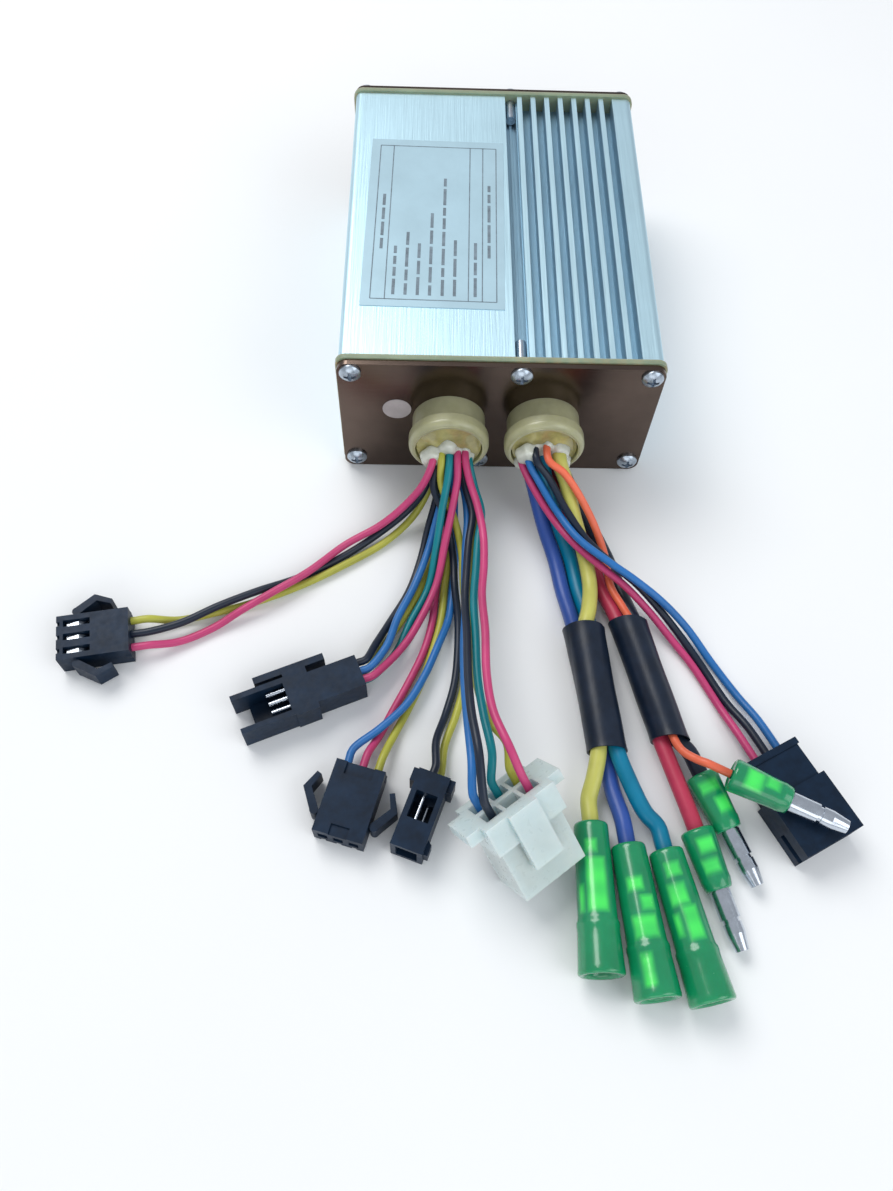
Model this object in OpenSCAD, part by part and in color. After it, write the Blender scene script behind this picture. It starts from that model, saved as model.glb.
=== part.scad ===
// Electronic speed controller for a brushless motor, with its fixed wire harnesses.
// Millimetres. The origin is the centre of the base, +Z is up and +Y points to the rear end.
// The wires leave the front end, towards -Y.

/* [Body] */
// Width of the extruded body
body_w = 70; // [69.5:0.1:70.5]
// Length of the extruded body without its end plates
body_l = 87; // [86:0.5:90]
// Height of the extruded body
body_h = 35.5; // [35.2:0.1:36]
// Thickness of the side walls and of the base
wall_t = 2.5; // [2.2:0.1:2.8]
// Radius of the body's long edges
edge_r = 1.5; // [1:0.1:1.6]

/* [Cooling fins] */
// Depth of the grooves between the fins
groove_depth = 4; // [3:0.1:4.5]
// Width of one fin
fin_t = 1.2; // [1:0.1:1.5]
// Number of fins
fin_count = 7; // [5:1:8]

/* [End plates] */
// Thickness of each end plate
plate_t = 1.4; // [1:0.1:2]
// Thickness of the gasket behind each end plate
gasket_t = 1.2; // [0.8:0.1:1.6]
// How far the gaskets stand out past the body
gasket_lip = 0.6; // [0.3:0.1:0.8]
// Radius of a plate screw's head
screw_head_r = 2.35; // [2:0.05:2.6]
// Length of a plate screw below its head
screw_l = 9; // [7:0.5:11]

/* [Cable grommets] */
// Radius of a grommet's rim
rim_r = 9; // [8.6:0.1:9.2]
// Radius of the sealed bore through a grommet
grommet_bore_r = 7.5; // [7.4:0.05:7.6]
// Length of a grommet in front of the plate
grommet_l = 8.5; // [7.5:0.5:9]

/* [Wires] */
// Diameter of a signal wire over its insulation
signal_d = 1.7; // [1.4:0.05:1.7]
// Diameter of a power wire over its insulation
power_d = 3.4; // [3:0.05:3.4]

/* [Electronics] */
// Thickness of the circuit board
board_t = 1.6; // [1:0.1:1.6]
// Number of power transistors along the heat bar
mosfet_count = 6; // [4:1:6]
// Spacing of the transistors
mosfet_pitch = 11.2; // [11:0.1:11.4]

/* [Hidden] */
$fn = 48;

// Clearances: cut_gap runs a tool past a face, fit_gap separates parts that only rest together
cut_gap = 0.5;
fit_gap = 0.05;

// End planes
front_y = -body_l / 2;
rear_y = body_l / 2;
face_y = front_y - gasket_t - plate_t;
inner_x = body_w / 2 - wall_t;

// Top of the body: a flat area, an open screw channel, the fins, then a plain strip
channel_x = 2.75;
channel_w = 3.1;
strip_x = 30.1;
fin_x = channel_x + channel_w;
fin_pitch = (strip_x - fin_x) / fin_count;
fin_ceiling = body_h - 6;
flat_ceiling = body_h - 2.2;

// Screw ports, seen from the front
port_r = 1.25;
port_boss_r = 2.8;
top_port_z = body_h - 2.3;
low_port_z = 3.6;
side_port_x = body_w / 2 - 2.6;
channel_port = [channel_x + channel_w / 2, top_port_z];
base_port = [-3.5, 3.4];
corner_ports = [[-side_port_x, top_port_z], [side_port_x, top_port_z],
    [-side_port_x, low_port_z], [side_port_x, low_port_z]];
plate_ports = concat(corner_ports, [channel_port, base_port]);
shank_r = port_r - fit_gap;
screw_head_h = 1.7;

// Grommets
signal_hole = [-10.9, 17.8];
power_hole = [10.5, 17.8];
grommet_neck_r = 7.95;
grommet_base_r = 8.2;
grommet_flange_r = 9;
grommet_flange_t = 1.4;

// Circuit board and what stands on it
board_z = 7.2;
board_top = board_z + board_t;
board_size = [2 * inner_x - 0.1, body_l - 9];
rail = [1.2, 1];
bar = [4, body_l - 8, 19.2];
bar_x = inner_x - bar.x;
bar_z = board_top + 1.4;
mosfet_body = [4.4, 10, 9];
mosfet_body_z = 12.4;
tab = [1.3, 10, 6.3];
tab_hole_z = 24.9;
pad_t = 0.3;
clamp_r = 1.5;
bar_screw_z = 13.5;
cap_r = 6.5;
cap_h = 21;
cap_spots = [[-20, -18], [-20, 2]];
lead_r = 0.35;
lead_hole_r = 0.5;

// Rating label: a sheet on the flat area, turned a little
label_size = [32, 55];
label_t = 0.15;
label_at = [-14.6, -2, body_h];
label_turn = -1;

// Poses of the connectors, as position and turn. A flat housing's +X points back along its wires.
throttle_pose = [[-86.2, -95.4, 0], [0, 0, 10]];
sensor_pose = [[-30, -131, 0], [0, 0, 74]];
display_pose = [[-29, -103.4, 0], [0, 0, 23]];
brake_pose = [[-13.2, -125.9, 0], [0, 0, 70]];
aux_pose = [[54.7, -120.1, 0], [0, 0, 118]];
hall_pose = [[-0.5, -132.7, 15.3], [-51, 0, 37]];

// A bullet connector's +X points to its mating end, and its origin is where the wire goes in
phase_yellow_pose = [[17.7, -134.6, 3.6], [0, -2.2, -90]];
phase_blue_pose = [[24.7, -138.8, 3.6], [0, -2.2, -84]];
phase_green_pose = [[32, -139.8, 3.6], [0, -2.2, -78.5]];
supply_red_pose = [[38.6, -135.6, 3.6], [0, 3, -74]];
supply_black_pose = [[40.9, -124.3, 3.6], [0, 3, -68]];
supply_orange_pose = [[44.7, -126.4, 10.8], [0, 0, -26]];
socket_poses = [phase_yellow_pose, phase_blue_pose, phase_green_pose];
tip_poses = [supply_red_pose, supply_black_pose, supply_orange_pose];

// Three-way plug with spring latches
plug = [15, 10.3, 6];
plug_pitch = 3.2;
plug_ways = [-plug_pitch, 0, plug_pitch];
latch_pivot = [-3.5, plug.y / 2 + 1.05];
latch_r = 0.9;
latch_h = 4.6;
wire_bore_r = signal_d / 2 + 0.1;

// Sockets for plugs: the display, brake and auxiliary shrouds
display_box = [10.5, 7.2, 7];
display_upper = [2.4, 0.4, -1.6];
display_lower = [1.5, -0.6];
display_ways = concat([for (y = display_upper) [y, 5.2]], [for (y = display_lower) [y, 2.2]]);
brake_box = [16, 6.6, 8];
brake_ways = [[0.6, 5.6], [-0.6, 2.6]];
aux_box = [21, 11.6, 7];
aux_ways = [[2.4, 3.5], [-0.4, 3.5], [-3.2, 3.5]];
aux_recess = 6;
contact_r = 0.45;

// Six-way nylon housing for the motor's position sensor; +Z points back along its wires
hall_flange = [22, 13.5, 6];
hall_body = [14.2, 11, 11.5];
hall_pitch = [4.4, 5];
hall_cavity = 3.6;
hall_ways = [[-1, 1], [0, 1], [1, 1], [-1, -1], [1, -1]];

// Bullet connectors
socket_sleeve_l = 28.5;
socket_sleeve_r = [3.4, 4.5];
socket_bore_r = 2.05;
socket_wall = 0.45;
tip_sleeve_l = 12;
tip_sleeve_r = [3.4, 2.75];
tip_r = 2;
tip_plain_l = 5.3;
tip_crimp_r = 1.8;
tip_head_r = 1.85;
power_bore_r = power_d / 2 + 0.1;

// Heat-shrink sleeves: from, to, and the outer radius at both ends
shrink_wall = 0.4;
phase_shrink = [[18.8, -92.5, 5.1], [21.9, -120, 4.5]];
phase_shrink_r = [5, 4.35];
supply_shrink = [[28.7, -90.5, 4.5], [35.2, -117.4, 4.5]];
supply_shrink_r = [4.35, 4.35];

// A wire's first stretch: straight out through the sealant at x and z. The lower wires turn down first.
function grommet_exit(x, z) = [[x, -44, z], [x, -50, z], [x, -54.4 - (z - 11.8) / 2, z]];

// Points along the inside of a heat-shrink sleeve: r from its axis, at an angle that twists on the way
function through(sleeve, r, angle, twist) =
    [for (t = [0.02, 0.35, 0.7, 0.98])
        let (a = angle + t * twist)
        sleeve[0] + t * (sleeve[1] - sleeve[0]) + r * [cos(a), 0, sin(a)]];

// A wire's last stretch: from a lead outside point p of a connector, straight in to a depth behind it
function connector_entry(pose, p, out, lead, depth) =
    [placed(pose, p + lead * out), placed(pose, p + lead / 4 * out), placed(pose, p - depth * out)];

// Point p of a posed piece, in the part's own frame
function placed(pose, p) = pose[0] + turned(p, pose[1]);
function turned(p, a) =
    let (q = [p.x, p.y * cos(a.x) - p.z * sin(a.x), p.y * sin(a.x) + p.z * cos(a.x)])
    let (r = [q.x * cos(a.y) + q.z * sin(a.y), q.y, q.z * cos(a.y) - q.x * sin(a.y)])
    [r.x * cos(a.z) - r.y * sin(a.z), r.x * sin(a.z) + r.y * cos(a.z), r.z];

function plug_end(pose, way) =
    connector_entry(pose, [plug.x / 2, plug_ways[way], plug.z / 2], [1, 0, 0], 3.5, 2.5);
function shroud_end(pose, ways, way, x) =
    connector_entry(pose, [x, ways[way][0], ways[way][1]], [1, 0, 0], 2, 2.5);
function hall_end(way) =
    connector_entry(hall_pose, [hall_ways[way].x * hall_pitch.x, hall_ways[way].y * hall_pitch.y / 2, 0],
        [0, 0, 1], 2.5, 4);
function bullet_end(pose) = connector_entry(pose, [0, 0, 0], [-1, 0, 0], 5, 4.5);

// Routes of the wires, from the grommet to the connector
throttle_red_route = concat(grommet_exit(-14.4, 16.9), [
    [-16.5, -60.5, 12.8], [-20.5, -63, 8], [-26, -66, 4.2], [-34, -70.3, 2.3], [-42, -78, 3],
    [-50, -83.8, 3.2], [-56, -87.6, 2.4], [-62, -91.4, 1.1], [-69, -95, 1.4]], plug_end(throttle_pose, 0));
throttle_black_route = concat(grommet_exit(-14.3, 13.5), [
    [-16.4, -60, 9.5], [-20, -62.5, 5], [-26, -66.5, 2], [-34, -72.3, 1], [-44, -78.3, 1],
    [-53, -82.8, 2.4], [-61, -87, 3.1], [-68.5, -91.2, 3.1]], plug_end(throttle_pose, 1));
throttle_yellow_route = concat(grommet_exit(-13.5, 11.9), [
    [-16.2, -60, 6.4], [-19.4, -63.5, 2.6], [-25.5, -69, 1], [-34, -74.8, 1], [-44, -80.6, 1],
    [-54.5, -85.2, 1], [-64, -88.2, 1], [-70, -89.6, 1]], plug_end(throttle_pose, 2));

display_green_route = concat(grommet_exit(-10.7, 16.9), [
    [-11, -60.5, 15.4], [-12.2, -66.5, 11.5], [-13.4, -73.5, 6.2], [-15, -81.5, 2.8], [-18.8, -89.5, 1.6],
    [-22, -97.2, 1.6]], shroud_end(display_pose, display_ways, 4, 0));
display_red_route = concat(grommet_exit(-8.9, 16.9), [
    [-8.9, -60.5, 14.8], [-10, -66.5, 11.4], [-11.5, -73.5, 7.6], [-13.2, -81.5, 4.4], [-16.6, -89.5, 3.2],
    [-20.4, -96.5, 3.4]], shroud_end(display_pose, display_ways, 2, 0));
display_blue_route = concat(grommet_exit(-11.6, 15.2), [
    [-11.9, -60.5, 9.8], [-13.5, -66.5, 6.2], [-15.4, -73.5, 4], [-18.2, -81.5, 3.2], [-21.6, -89.5, 3.6],
    [-23.8, -97, 4.8]], shroud_end(display_pose, display_ways, 1, 0));
display_black_route = concat(grommet_exit(-12.5, 13.5), [
    [-13.4, -60.5, 7.8], [-15.2, -66.5, 3.8], [-16.8, -73.5, 1.6], [-19.3, -81.5, 1], [-23.2, -89.5, 1.8],
    [-26.2, -96, 3.6]], shroud_end(display_pose, display_ways, 0, 0));
display_yellow_route = concat(grommet_exit(-11.6, 11.8), [
    [-12, -60.5, 6], [-13.2, -66.5, 2.8], [-14.6, -73.5, 1], [-17, -81.5, 1], [-21.2, -89.5, 1],
    [-25.3, -96.5, 1.4]], shroud_end(display_pose, display_ways, 3, 0));

sensor_red_route = concat(grommet_exit(-10.7, 13.5), [
    [-10.5, -60.5, 8], [-11.4, -66.5, 5], [-12.4, -73.5, 2.6], [-13.3, -81.5, 1], [-14.1, -89.5, 1],
    [-15.7, -96, 1], [-18.6, -103, 1], [-22, -110, 1], [-24.8, -116, 1.4]], plug_end(sensor_pose, 1));
sensor_yellow_route = concat(grommet_exit(-9.8, 11.8), [
    [-9.7, -60.5, 5.6], [-10.6, -66.5, 2.8], [-10.6, -73.5, 1], [-11.4, -81.5, 1], [-12.2, -89.5, 1],
    [-13.8, -96, 1], [-16, -103, 1], [-19, -110, 1], [-21.8, -116, 1.6]], plug_end(sensor_pose, 0));
sensor_blue_route = concat(grommet_exit(-9.8, 15.2), [
    [-9.4, -60.5, 10.6], [-9.2, -66.5, 5.6], [-9, -73.5, 1.8], [-9.6, -81.5, 1.1], [-10.4, -88.5, 1.6],
    [-12.8, -96, 3], [-15.6, -103, 3], [-19.2, -109.5, 3.2], [-24.5, -115, 3.4]], plug_end(sensor_pose, 2));

brake_black_route = concat(grommet_exit(-13.4, 15.2), [
    [-14.2, -60.5, 12.2], [-11.4, -66.5, 8.8], [-9.6, -73.5, 4.6], [-9.1, -81.5, 3.4], [-8.3, -89.5, 1.6],
    [-9, -103, 1], [-11, -111, 1.4], [-13, -118, 4]], shroud_end(brake_pose, brake_ways, 0, 0));
brake_yellow_route = concat(grommet_exit(-12.5, 16.9), [
    [-12.4, -60.5, 12.8], [-9.5, -66.5, 8.8], [-7.6, -73.5, 5.2], [-7.2, -81.5, 4.2], [-6.4, -89.5, 2.4],
    [-6.9, -103, 1.2], [-8.8, -111, 1], [-11.2, -118, 1.6]], shroud_end(brake_pose, brake_ways, 1, 0));

hall_red_route = concat(grommet_exit(-7.1, 16.9), [
    [-6.2, -60.5, 14.8], [-4.4, -66.5, 13.6], [-3.2, -73.5, 13], [-3.2, -81.5, 13.6], [-3.8, -89.5, 14.8],
    [-3.4, -98.5, 16.6], [-3.4, -109, 18.4], [-2.4, -117.5, 20.2], [0.4, -125, 21.2]], hall_end(4));
hall_green_route = concat(grommet_exit(-6.2, 15.2), [
    [-5, -60.5, 12.5], [-3.4, -66.5, 11.2], [-4.2, -73.5, 10.6], [-4.8, -81.5, 11.2], [-5.4, -89.5, 12.4],
    [-5.2, -98.5, 14], [-5, -109, 15.8], [-4, -117.5, 17.4], [-2.6, -125, 17.6]], hall_end(1));
hall_black_route = concat(grommet_exit(-8, 15.2), [
    [-7, -60.5, 12.3], [-5.4, -66.5, 10.6], [-6.2, -73.5, 9.8], [-6.8, -81.5, 10.6], [-7.2, -89.5, 11.8],
    [-7, -98.5, 14.6], [-7, -109, 17.6], [-6.6, -117.5, 20.2], [-5.4, -126, 21.8]], hall_end(3));
hall_yellow_route = concat(grommet_exit(-7.1, 13.5), [
    [-5.2, -60.5, 10.3], [-4.2, -66.5, 8.6], [-4.8, -73.5, 7.8], [-5.2, -81.5, 8.6], [-6.2, -89.5, 9.4],
    [-6.2, -98.5, 10.6], [-5, -109, 12.8], [-2.8, -117.5, 15], [0.4, -122.5, 16.2]], hall_end(2));
hall_blue_route = concat(grommet_exit(-8.9, 13.5), [
    [-7.1, -60.5, 9.9], [-6.4, -66.5, 8.2], [-6.8, -73.5, 7], [-7, -81.5, 6.6], [-7, -89.5, 6.8],
    [-7.4, -98.5, 8.4], [-7.4, -109, 11.2], [-7, -117.5, 14], [-6.4, -126, 16]], hall_end(0));

phase_blue_route = concat(grommet_exit(7.6, 12.9), [
    [9.4, -60.5, 8.8], [11.5, -66.5, 4.6], [13.8, -73.5, 2.4], [15.2, -81.5, 2], [16.4, -88, 3]],
    through(phase_shrink, 2.06, 210, 60), [[22.8, -127, 2.3]], bullet_end(phase_blue_pose));
phase_green_route = concat(grommet_exit(10.3, 16.1), [
    [11.6, -60.5, 11.7], [14.6, -66.5, 6.2], [17.4, -73.5, 2.6], [18.7, -81.5, 2], [20, -88, 3]],
    through(phase_shrink, 2.06, -30, 60), [[25.8, -126, 4.9], [28.8, -132.4, 3.8]],
    bullet_end(phase_green_pose));
phase_yellow_route = concat(grommet_exit(13.9, 17.3), [
    [15.6, -60.5, 14.2], [17.4, -66.5, 10.4], [19.6, -73.5, 6.9], [20.8, -81.5, 5.4], [20, -88, 6.6]],
    through(phase_shrink, 2.06, 90, 60), [[18.9, -125.4, 4.6]], bullet_end(phase_yellow_pose));
supply_red_route = concat(grommet_exit(11.2, 12.7), [
    [14.8, -60.5, 7.4], [18.6, -66.5, 3.4], [21.8, -73.5, 2.2], [24.2, -81.5, 2], [26, -87, 3.2]],
    through(supply_shrink, 1.9, 198, 0), [[35.5, -124.8, 3.9]], bullet_end(supply_red_pose));
supply_black_route = concat(grommet_exit(14.6, 13.7), [
    [18.2, -60.5, 8.8], [22.4, -66.5, 4.4], [25.9, -73.5, 2.2], [28.2, -81.5, 2], [29.6, -87, 3.2]],
    through(supply_shrink, 1.9, -18, 0), bullet_end(supply_black_pose));
supply_orange_route = concat(grommet_exit(11.2, 19.4), [
    [14.6, -60.5, 18], [20.2, -66.5, 12.4], [24.2, -73.5, 6.8], [25.6, -81.5, 4.8], [27.6, -87, 5.6]],
    through(supply_shrink, 2.2, 90, 0), [[36.4, -120.8, 8.2], [38.8, -123.2, 9.8]],
    bullet_end(supply_orange_pose));

aux_red_route = concat(grommet_exit(5.6, 15.6), [
    [8.3, -60.5, 12.4], [12.4, -66.5, 9.8], [17.2, -73.5, 9.6], [23, -79, 9], [28.2, -83, 7.6],
    [34, -88, 4.4], [38.5, -93, 2], [42.5, -98.5, 1.1], [47.5, -108.5, 1], [50.2, -115, 2.4]],
    shroud_end(aux_pose, aux_ways, 0, -aux_recess));
aux_blue_route = concat(grommet_exit(7, 17.2), [
    [9.4, -60.5, 14.6], [13.4, -66.5, 11.9], [17.8, -73.5, 11.8], [24, -79, 11.5], [29.4, -82.6, 10.4],
    [35.8, -86.4, 7.4], [41.8, -91, 3.6], [47, -98, 1], [51.6, -106, 1.2], [54.8, -112, 2.6]],
    shroud_end(aux_pose, aux_ways, 2, -aux_recess));
aux_black_route = concat(grommet_exit(8.6, 18.8), [
    [11.4, -60.5, 16.2], [15.2, -66.5, 13], [20.2, -73.5, 10.6], [25.8, -79, 9.6], [30.6, -82.6, 8],
    [36, -87.4, 5], [40.4, -92.4, 2.6], [44.6, -98.6, 1], [49, -107.5, 1.2], [52.4, -113.6, 2.6]],
    shroud_end(aux_pose, aux_ways, 1, -aux_recess));

// ---- Housing ----

module rounded_rect(w, h, r) {
    translate([r - w / 2, 0]) square([w - 2 * r, h]);
    translate([-w / 2, r]) square([w, h - 2 * r]);
    for (x = [r - w / 2, w / 2 - r], z = [r, h - r])
        translate([x, z]) circle(r = r);
}

// Stands a front-view outline upright and extrudes it rearwards from plane y
module upright(y, depth) {
    translate([0, y + depth, 0]) rotate([90, 0, 0]) linear_extrude(depth) children();
}

module cavity_profile() {
    difference() {
        union() {
            translate([-inner_x, wall_t]) square([2 * inner_x, fin_ceiling - wall_t]);
            translate([-inner_x, wall_t]) square([inner_x + channel_x - 2, flat_ceiling - wall_t]);
        }
        for (p = concat(corner_ports, [base_port]))
            translate(p) circle(r = port_boss_r);
        for (side = [-1, 1], z = [board_z - fit_gap - rail.y, board_top + fit_gap])
            translate([side * (inner_x - rail.x / 2) - rail.x / 2, z]) square(rail);
    }
}

module groove_profile() {
    floor_z = body_h - groove_depth;
    for (i = [0 : fin_count - 1])
        translate([fin_x + fin_t + i * fin_pitch, floor_z]) square([fin_pitch - fin_t, groove_depth + 1]);
    difference() {
        translate([channel_x, floor_z]) square([channel_w, groove_depth + 1]);
        translate([channel_x + channel_w / 2 - 0.3, floor_z]) square([0.6, 0.4]);
        for (x = [channel_x, channel_x + channel_w - 0.3])
            translate([x, channel_port.y - 0.6]) square([0.3, 1.2]);
    }
}

module housing() {
    color([0.78, 0.86, 0.89]) difference() {
        upright(front_y, body_l) difference() {
            rounded_rect(body_w, body_h, edge_r);
            cavity_profile();
            groove_profile();
            for (p = concat(corner_ports, [base_port]))
                translate(p) circle(r = port_r);
        }
        for (y = bar_screw_ys())
            translate([inner_x - 0.1, y, bar_screw_z]) rotate([0, 90, 0])
                cylinder(r = clamp_r + fit_gap, h = 1.9);
    }
}

// ---- End plates and what is on them ----

module plate_profile(w, h) {
    difference() {
        rounded_rect(w, h, 2.4);
        for (p = plate_ports)
            translate(p) circle(r = port_r);
    }
}

module front_plate() {
    color([0.42, 0.34, 0.30]) upright(face_y, plate_t) difference() {
        plate_profile(body_w + 0.6, body_h + 0.2);
        for (p = [signal_hole, power_hole])
            translate(p) circle(r = grommet_neck_r + fit_gap);
    }
}

module rear_plate() {
    color([0.42, 0.34, 0.30]) upright(rear_y + gasket_t, plate_t) plate_profile(body_w + 0.6, body_h + 0.2);
}

module end_gaskets() {
    opening = [body_w - 11, body_h - 14];
    color([0.62, 0.65, 0.50]) for (y = [front_y - gasket_t, rear_y])
        upright(y, gasket_t) difference() {
            plate_profile(body_w + 2 * gasket_lip, body_h + gasket_lip);
            translate([0, 7]) rounded_rect(opening.x, opening.y, 2);
        }
}

// Pan head with a cross recess; the head's seat is at the origin and the shank runs to -Z
module plate_screw() {
    difference() {
        union() {
            rotate_extrude() difference() {
                intersection() {
                    translate([0, screw_head_h - 2.9]) circle(r = 2.9);
                    square([screw_head_r, screw_head_h]);
                }
                translate([-4, -1]) square([4, 5]);
            }
            translate([0, 0, -screw_l]) cylinder(r = shank_r, h = screw_l);
        }
        for (a = [0, 90])
            rotate(a) translate([-1.3, -0.3, 0.7]) cube([2.6, 0.6, 2]);
        translate([0, 0, 0.5]) cylinder(r1 = 0.3, r2 = 0.75, h = 1.4);
    }
}

module plate_screws() {
    color([0.70, 0.76, 0.82]) for (p = plate_ports) {
        translate([p.x, face_y, p.y]) rotate([90, 0, 0]) plate_screw();
        translate([p.x, -face_y, p.y]) rotate([-90, 0, 0]) plate_screw();
    }
}

module rating_label() {
    color([0.80, 0.87, 0.90]) translate(label_at) rotate(label_turn)
        translate([-label_size.x / 2, -label_size.y / 2, 0]) cube([label_size.x, label_size.y, label_t]);
}

module inspection_sticker() {
    color([0.62, 0.60, 0.60]) translate([-22.6, face_y, 21.3]) rotate([90, 0, 0]) cylinder(r = 3.2, h = 0.12);
}

// ---- Grommets and sealant ----

// Turned body of a grommet, drawn with its radius in X and its length in Y in front of the plate
module grommet_profile() {
    back = -plate_t - grommet_flange_t;
    difference() {
        union() {
            translate([0, back]) square([grommet_flange_r, grommet_flange_t]);
            translate([0, back]) square([grommet_neck_r, grommet_flange_t + plate_t + 1]);
            square([grommet_base_r, grommet_l - 3]);
            translate([0, grommet_l - 3.6]) square([rim_r - 0.4, 2]);
            translate([0, grommet_l - 3.2]) square([rim_r, 1.2]);
            for (y = [grommet_l - 3.2, grommet_l - 2])
                translate([rim_r - 0.4, y]) circle(r = 0.4);
            translate([0, grommet_l - 1.6]) square([rim_r - 1, 1.6]);
            translate([rim_r - 1.6, grommet_l - 1.6]) circle(r = 1.6);
        }
        translate([-1, back - 1]) square([grommet_bore_r + 1, grommet_l + 8]);
    }
}

module grommet(hole) {
    color([0.74, 0.74, 0.55]) translate([hole.x, face_y, hole.y]) rotate([90, 0, 0])
        rotate_extrude() grommet_profile();
}

module signal_grommet() { grommet(signal_hole); }

module power_grommet() { grommet(power_hole); }

module sealant(hole, blobs) {
    translate([hole.x, face_y + plate_t + grommet_flange_t, hole.y]) rotate([90, 0, 0])
        cylinder(r = grommet_bore_r - fit_gap, h = grommet_l + plate_t + grommet_flange_t - 0.6);
    for (b = blobs)
        translate([b[0], b[1], b[2]]) sphere(r = b[3]);
}

module cable_sealant() {
    color([0.82, 0.86, 0.80]) {
        sealant(signal_hole, [[-13.4, -52.4, 18.6, 3.6], [-7, -52.2, 17.6, 3.2], [-10.4, -52.4, 18.4, 3.2]]);
        sealant(power_hole, [[8.6, -52.6, 19.2, 3.4], [13.4, -52, 18.6, 3.4]]);
    }
}

// ---- Electronics ----

function mosfet_ys() = [for (i = [0 : mosfet_count - 1]) (i - (mosfet_count - 1) / 2) * mosfet_pitch];
function bar_screw_ys() = [-(bar.y / 2 - 2.6), bar.y / 2 - 2.6];
function mosfet_x() = bar_x - pad_t;
function lead_spots() = [for (y = mosfet_ys(), k = [-1, 0, 1]) [mosfet_x() - 2.2, y + k * 2.54]];
function cap_lead_spots() = [for (c = cap_spots, k = [-1, 1]) [c.x, c.y + k * 2.5]];

module circuit_board() {
    color([0.10, 0.35, 0.20]) difference() {
        translate([-board_size.x / 2, -board_size.y / 2, board_z])
            cube([board_size.x, board_size.y, board_t]);
        for (p = concat(lead_spots(), cap_lead_spots()))
            translate([p.x, p.y, board_z - cut_gap]) cylinder(r = lead_hole_r, h = board_t + 2 * cut_gap);
    }
}

module heat_bar() {
    color([0.72, 0.74, 0.76]) difference() {
        translate([bar_x, -bar.y / 2, bar_z]) cube([bar.x - fit_gap, bar.y, bar.z - 0.4]);
        for (y = mosfet_ys())
            translate([bar_x - cut_gap, y, tab_hole_z]) rotate([0, 90, 0])
                cylinder(r = clamp_r + fit_gap, h = bar.x + 2 * cut_gap);
        for (y = bar_screw_ys())
            translate([bar_x - cut_gap, y, bar_screw_z]) rotate([0, 90, 0])
                cylinder(r = clamp_r + fit_gap, h = bar.x + 2 * cut_gap);
    }
}

module mosfet() {
    translate([-mosfet_body.x, -mosfet_body.y / 2, mosfet_body_z]) cube(mosfet_body);
    difference() {
        translate([-tab.x, -tab.y / 2, mosfet_body_z + mosfet_body.z - cut_gap]) cube(tab + [0, 0, cut_gap]);
        translate([-tab.x - cut_gap, 0, tab_hole_z]) rotate([0, 90, 0])
            cylinder(r = clamp_r + 0.3, h = tab.x + 2 * cut_gap);
    }
    for (k = [-1, 0, 1])
        translate([-2.2, k * 2.54, board_z - 1]) cylinder(r = lead_r, h = mosfet_body_z - board_z + 1.5);
}

module mosfets() {
    color([0.12, 0.12, 0.13]) for (y = mosfet_ys())
        translate([mosfet_x(), y, 0]) mosfet();
}

module mosfet_pads() {
    color([0.60, 0.62, 0.66]) for (y = mosfet_ys())
        difference() {
            translate([bar_x - pad_t + 0.01, y - tab.y / 2, mosfet_body_z]) cube([pad_t - 0.02, tab.y, 15]);
            translate([bar_x - 1, y, tab_hole_z]) rotate([0, 90, 0]) cylinder(r = clamp_r + 0.3, h = 2);
        }
}

// Screw along +X with its head at the origin, pointing to -X
module clamp_screw(length) {
    rotate([0, 90, 0]) cylinder(r = clamp_r, h = length);
    difference() {
        translate([-2.2, 0, 0]) rotate([0, 90, 0]) cylinder(r = 2.7, h = 2.2);
        translate([-3, 0, 0]) rotate([0, 90, 0]) cylinder(r = 1.3, h = 2, $fn = 6);
    }
}

module clamp_screws() {
    color([0.55, 0.57, 0.60]) {
        for (y = mosfet_ys())
            translate([mosfet_x() - tab.x, y, tab_hole_z]) clamp_screw(5);
        for (y = bar_screw_ys())
            translate([bar_x, y, bar_screw_z]) clamp_screw(5.4);
    }
}

module bus_capacitors() {
    color([0.12, 0.16, 0.30]) for (c = cap_spots) {
        translate([c.x, c.y, board_top]) cylinder(r = cap_r, h = cap_h);
        for (k = [-1, 1])
            translate([c.x, c.y + k * 2.5, board_z - 1]) cylinder(r = lead_r, h = board_t + 1.5);
    }
}

module control_chip() {
    size = 7;
    color([0.10, 0.10, 0.11]) translate([0, 10, board_top]) {
        translate([-size / 2, -size / 2, 0.1]) cube([size, size, 1.3]);
        for (a = [0, 90, 180, 270], k = [-3 : 3])
            rotate(a) translate([size / 2 - 0.2, k * 0.8 - 0.15, 0]) cube([1.2, 0.3, 0.5]);
    }
}

// ---- Plugs with spring latches ----

module at(pose) {
    translate(pose[0]) rotate(pose[1]) children();
}

module three_way_plug() {
    front = -plug.x / 2;
    mid = plug.z / 2;
    difference() {
        union() {
            translate([front, -plug.y / 2, 0]) cube(plug);
            for (side = [-1, 1])
                translate([plug.x / 2 - 1.2, side * (plug.y / 2 - 1.7), mid]) rotate([0, 90, 0])
                    cylinder(r = 1.9, h = 1.2);
        }
        for (y = plug_ways) {
            translate([front - 1, y - 1, mid - 1.1]) cube([12.4, 2, 2.2]);
            translate([0, y, mid]) rotate([0, 90, 0]) cylinder(r = wire_bore_r, h = plug.x);
            translate([front + 1.4, y - 0.75, mid]) cube([5.6, 1.5, mid + 1]);
            translate([front - 1, y - 0.5, plug.z - 0.8]) cube([1.7, 1, 2]);
        }
        // Underside: a channel between two lips at the wire end, and a ramp at the mating end
        translate([plug.x / 2 - 2.6, -2.9, -1]) cube([3, 5.8, 1.6]);
        translate([front - 1, -1.9, -1]) cube([3.2, 3.8, 1.5]);
    }
}

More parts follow.
